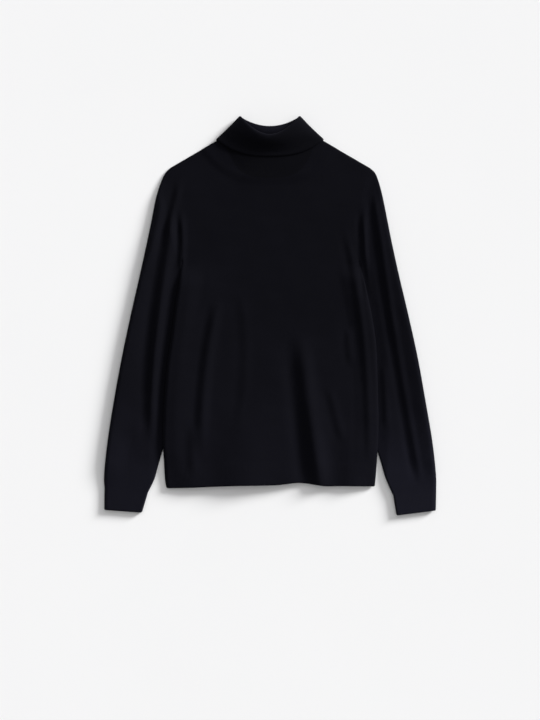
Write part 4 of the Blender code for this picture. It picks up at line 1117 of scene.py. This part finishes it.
class StageSizes(bpy.types.PropertyGroup):
    """The floor, the lights and the camera."""
    floor_side: length_setting("Floor", 14.0, "Side of the floor")
    floor_colour: colour_setting("Floor colour", (0.86, 0.86, 0.865), "Colour of the floor")
    camera_height: length_setting("Camera height", 3.0, "Height of the camera over the floor")
    seen_height: length_setting("Seen height", 1.447, "Height of the frame at the cloth")
    centre_y: length_setting("Centre", -0.0884, "Place along Y at the middle of the frame", -1.0)
    key_elevation: angle_setting("Key elevation", 20, "Angle of the key light over the floor")
    key_azimuth: angle_setting("Key azimuth", 35, "Angle of the key light from the X axis")
    key_spread: angle_setting("Key spread", 19, "Angle that the soft key light fills")
    key_strength: plain_setting("Key strength", 4.90, "Irradiance of the key light")
    fill_strength: plain_setting("Fill strength", 0.210, "Light from all round")
    top_elevation: angle_setting("Top elevation", 70, "Angle of the broad top light over the floor")
    top_azimuth: angle_setting("Top azimuth", 60, "Angle of the top light from the X axis")
    top_spread: angle_setting("Top spread", 90, "Angle that the top light fills")
    top_strength: plain_setting("Top strength", 1.09, "Irradiance of the top light")


class SweaterSettings(bpy.types.PropertyGroup):
    """Everything that the sweater's operators read."""
    sizes: PointerProperty(type=KnitSizes)
    look: PointerProperty(type=KnitLook)
    stage: PointerProperty(type=StageSizes)


class SWEATER_OT_panels(bpy.types.Operator):
    """Makes the front and back panels."""
    bl_idname = "sweater.panels"
    bl_label = "Make front and back"

    def execute(self, context):
        settings = context.scene.sweater
        for panel in (FRONT, BACK):
            plan = panel_plan(panel)
            if not panel.front:
                plan = plan[:, ::-1]
            points = np.dstack([plan, body_heights(plan, panel, settings.sizes.waviness)])
            # the panel's colour is made lighter towards the hem
            tone_and_light = BODY_LIGHTER * along_slope(BODY_LIGHTER_BELOW, plan[..., 1])
            add_cloth(panel.name, "knit", points, plan, tone_and_light, settings, closed=False)
        return {"FINISHED"}


class SWEATER_OT_hems(bpy.types.Operator):
    """Makes the ribbed hem under the front and the back."""
    bl_idname = "sweater.hems"
    bl_label = "Make hem ribs"

    def execute(self, context):
        settings = context.scene.sweater
        for panel in (FRONT, BACK):
            grid = hem_grid(panel, settings.sizes)[::-1]
            uv = rib_uv(grid, RIB_POINTS, settings.sizes.rib_pitch, closed=False)
            # the hem rib's colour is made lighter towards the hem
            tone_and_light = BODY_LIGHTER * along_slope(BODY_LIGHTER_BELOW, grid[..., 1])
            add_cloth("hem_" + panel.name, "rib", grid, uv, tone_and_light, settings, closed=False)
        return {"FINISHED"}


class SWEATER_OT_sleeves(bpy.types.Operator):
    """Makes both sleeves."""
    bl_idname = "sweater.sleeves"
    bl_label = "Make sleeves"

    def execute(self, context):
        settings = context.scene.sweater
        for arm in ARMS:
            rings = sleeve_rings(arm, settings.sizes.waviness)
            if arm.side == "left":
                rings = rings[::-1]
            # the sleeve's colour is made lighter towards the cuff
            add_cloth("sleeve_" + arm.side, "knit", rings, tube_uv(rings), arm.tone_and_light(rings[..., 1]), settings)
        return {"FINISHED"}


class SWEATER_OT_cuffs(bpy.types.Operator):
    """Makes both ribbed cuffs."""
    bl_idname = "sweater.cuffs"
    bl_label = "Make cuffs"

    def execute(self, context):
        settings = context.scene.sweater
        for arm in ARMS:
            rings = cuff_rings(arm, settings.sizes)
            uv = rib_uv(rings, RIB_POINTS, settings.sizes.rib_pitch)
            if arm.side == "left":
                rings, uv = rings[::-1], uv[::-1]
            # the cuff's colour is made lighter towards its end
            add_cloth("cuff_" + arm.side, "rib", rings, uv, arm.tone_and_light(rings[..., 1]), settings)
        return {"FINISHED"}


class SWEATER_OT_collar(bpy.types.Operator):
    """Makes the ribbed roll neck."""
    bl_idname = "sweater.collar"
    bl_label = "Make collar"

    def execute(self, context):
        settings = context.scene.sweater
        rings = collar_grid(settings.sizes)
        uv = rib_uv(rings, COLLAR_RIB_POINTS, settings.sizes.rib_pitch)
        share = np.linspace(0, 1, len(rings))[:, None]
        column = np.arange(rings.shape[1])
        from_side = np.minimum(column - rings[..., 0].argmin(axis=1)[:, None], len(column) - column)
        # painted light inside the back of the neck, painted shade on the front of the stand, eased round from
        # the side fold
        at_back = ease(from_side / len(column) / INSIDE_STARTS)
        stand = STAND_PAINTED_SHADE + (INSIDE_PAINTED_LIGHT - STAND_PAINTED_SHADE) * at_back
        # painted shade over the whole collar, a painted highlight along its fold, and below the fold the
        # stand's share
        tone_and_light = (COLLAR_PAINTED_SHADE + FOLD_PAINTED_HIGHLIGHT * bump(share - FOLD_SHARE, FOLD_PAINT_REACH)
                + stand * ease((FOLD_SHARE - share) / FOLD_PAINT_REACH))
        add_cloth("collar", "rib", rings, uv, tone_and_light, settings, wall=COLLAR_WALL, offset=0)
        return {"FINISHED"}


class SWEATER_OT_stage(bpy.types.Operator):
    """Makes the floor, the lights and the camera."""
    bl_idname = "sweater.stage"
    bl_label = "Make stage"

    def execute(self, context):
        settings = context.scene.sweater
        make_floor(context.scene, settings.stage)
        make_lights(context.scene, settings.stage)
        make_camera(context.scene, settings.stage)
        return {"FINISHED"}


def make_floor(scene, stage):
    """A plain pale sheet under the sweater."""
    half = stage.floor_side / 2
    mesh = bpy.data.meshes.new("floor")
    corners = [(-half, -half, 0), (half, -half, 0), (half, half, 0), (-half, half, 0)]
    mesh.from_pydata(corners, [], [(0, 1, 2, 3)])
    material = bpy.data.materials.new("floor_paint")
    material.use_nodes = True
    wire = Wiring(material.node_tree)
    place = wire.node("ShaderNodeTexCoord").outputs["Object"]
    grain = wire.node("ShaderNodeTexNoise", {"Vector": place, **FLOOR_NOISE}).outputs[0]
    wire.fill(material.node_tree.nodes["Principled BSDF"].inputs, {
        "Base Color": wire.tones(grain, stage.floor_colour, *FLOOR_TONES),
        "Roughness": 1.0, "Specular IOR Level": 0.0})
    mesh.materials.append(material)
    floor = bpy.data.objects.new("floor", mesh)
    floor.location.z = -FLOOR_GAP
    scene.collection.objects.link(floor)


def make_lights(scene, stage):
    """A soft low key from the upper right, a broad top light, and even light from all round."""
    for name, strength, spread, elevation, azimuth in (
            ("key", stage.key_strength, stage.key_spread, stage.key_elevation, stage.key_azimuth),
            ("top", stage.top_strength, stage.top_spread, stage.top_elevation, stage.top_azimuth)):
        data = bpy.data.lights.new(name, "SUN")
        data.energy = strength
        data.angle = spread
        light = bpy.data.objects.new(name, data)
        light.rotation_euler = (0.0, np.pi / 2 - elevation, azimuth)
        scene.collection.objects.link(light)
    world = bpy.data.worlds.new("room")
    world.use_nodes = True
    wire = Wiring(world.node_tree)
    around, output = (world.node_tree.nodes[name] for name in ("Background", "World Output"))
    wire.fill(around.inputs, {"Color": (1.0, 1.0, 1.0, 1), "Strength": stage.fill_strength})
    backdrop = wire.node("ShaderNodeBackground", {"Color": (*stage.floor_colour, 1), "Strength": 1.0})
    seen = wire.node("ShaderNodeLightPath").outputs["Is Camera Ray"]
    mixed = wire.node("ShaderNodeMixShader", {0: seen, 1: around.outputs[0], 2: backdrop.outputs[0]})
    wire.fill(output.inputs, {"Surface": mixed.outputs[0]})
    scene.world = world
    scene.view_settings.view_transform = "Standard"


def make_camera(scene, stage):
    """A camera straight above, whose upright frame shows seen_height of the cloth."""
    data = bpy.data.cameras.new("camera")
    data.sensor_width = SENSOR_WIDTH
    data.lens = data.sensor_width * stage.camera_height / stage.seen_height
    camera = bpy.data.objects.new("camera", data)
    camera.location = (0.0, stage.centre_y, stage.camera_height)
    scene.collection.objects.link(camera)
    scene.camera = camera


class SWEATER_PT_sidebar(bpy.types.Panel):
    """Lists the operators in the order in which they run."""
    bl_label = "Roll-neck sweater"
    bl_idname = "SWEATER_PT_sidebar"
    bl_space_type = "VIEW_3D"
    bl_region_type = "UI"
    bl_category = "Sweater"

    def draw(self, context):
        for operator in OPERATORS:
            self.layout.operator(operator.bl_idname)


OPERATORS = (SWEATER_OT_stage, SWEATER_OT_panels, SWEATER_OT_hems, SWEATER_OT_sleeves, SWEATER_OT_cuffs,
             SWEATER_OT_collar)
CLASSES = (KnitSizes, KnitLook, StageSizes, SweaterSettings, *OPERATORS, SWEATER_PT_sidebar)


def register():
    for item in CLASSES:
        bpy.utils.register_class(item)
    bpy.types.Scene.sweater = PointerProperty(type=SweaterSettings)


def unregister():
    del bpy.types.Scene.sweater
    for item in reversed(CLASSES):
        bpy.utils.unregister_class(item)


def main():
    """Makes every piece and the stage."""
    register()
    bpy.ops.sweater.stage()
    bpy.ops.sweater.panels()
    bpy.ops.sweater.hems()
    bpy.ops.sweater.sleeves()
    bpy.ops.sweater.cuffs()
    bpy.ops.sweater.collar()


if __name__ == "__main__":
    main()
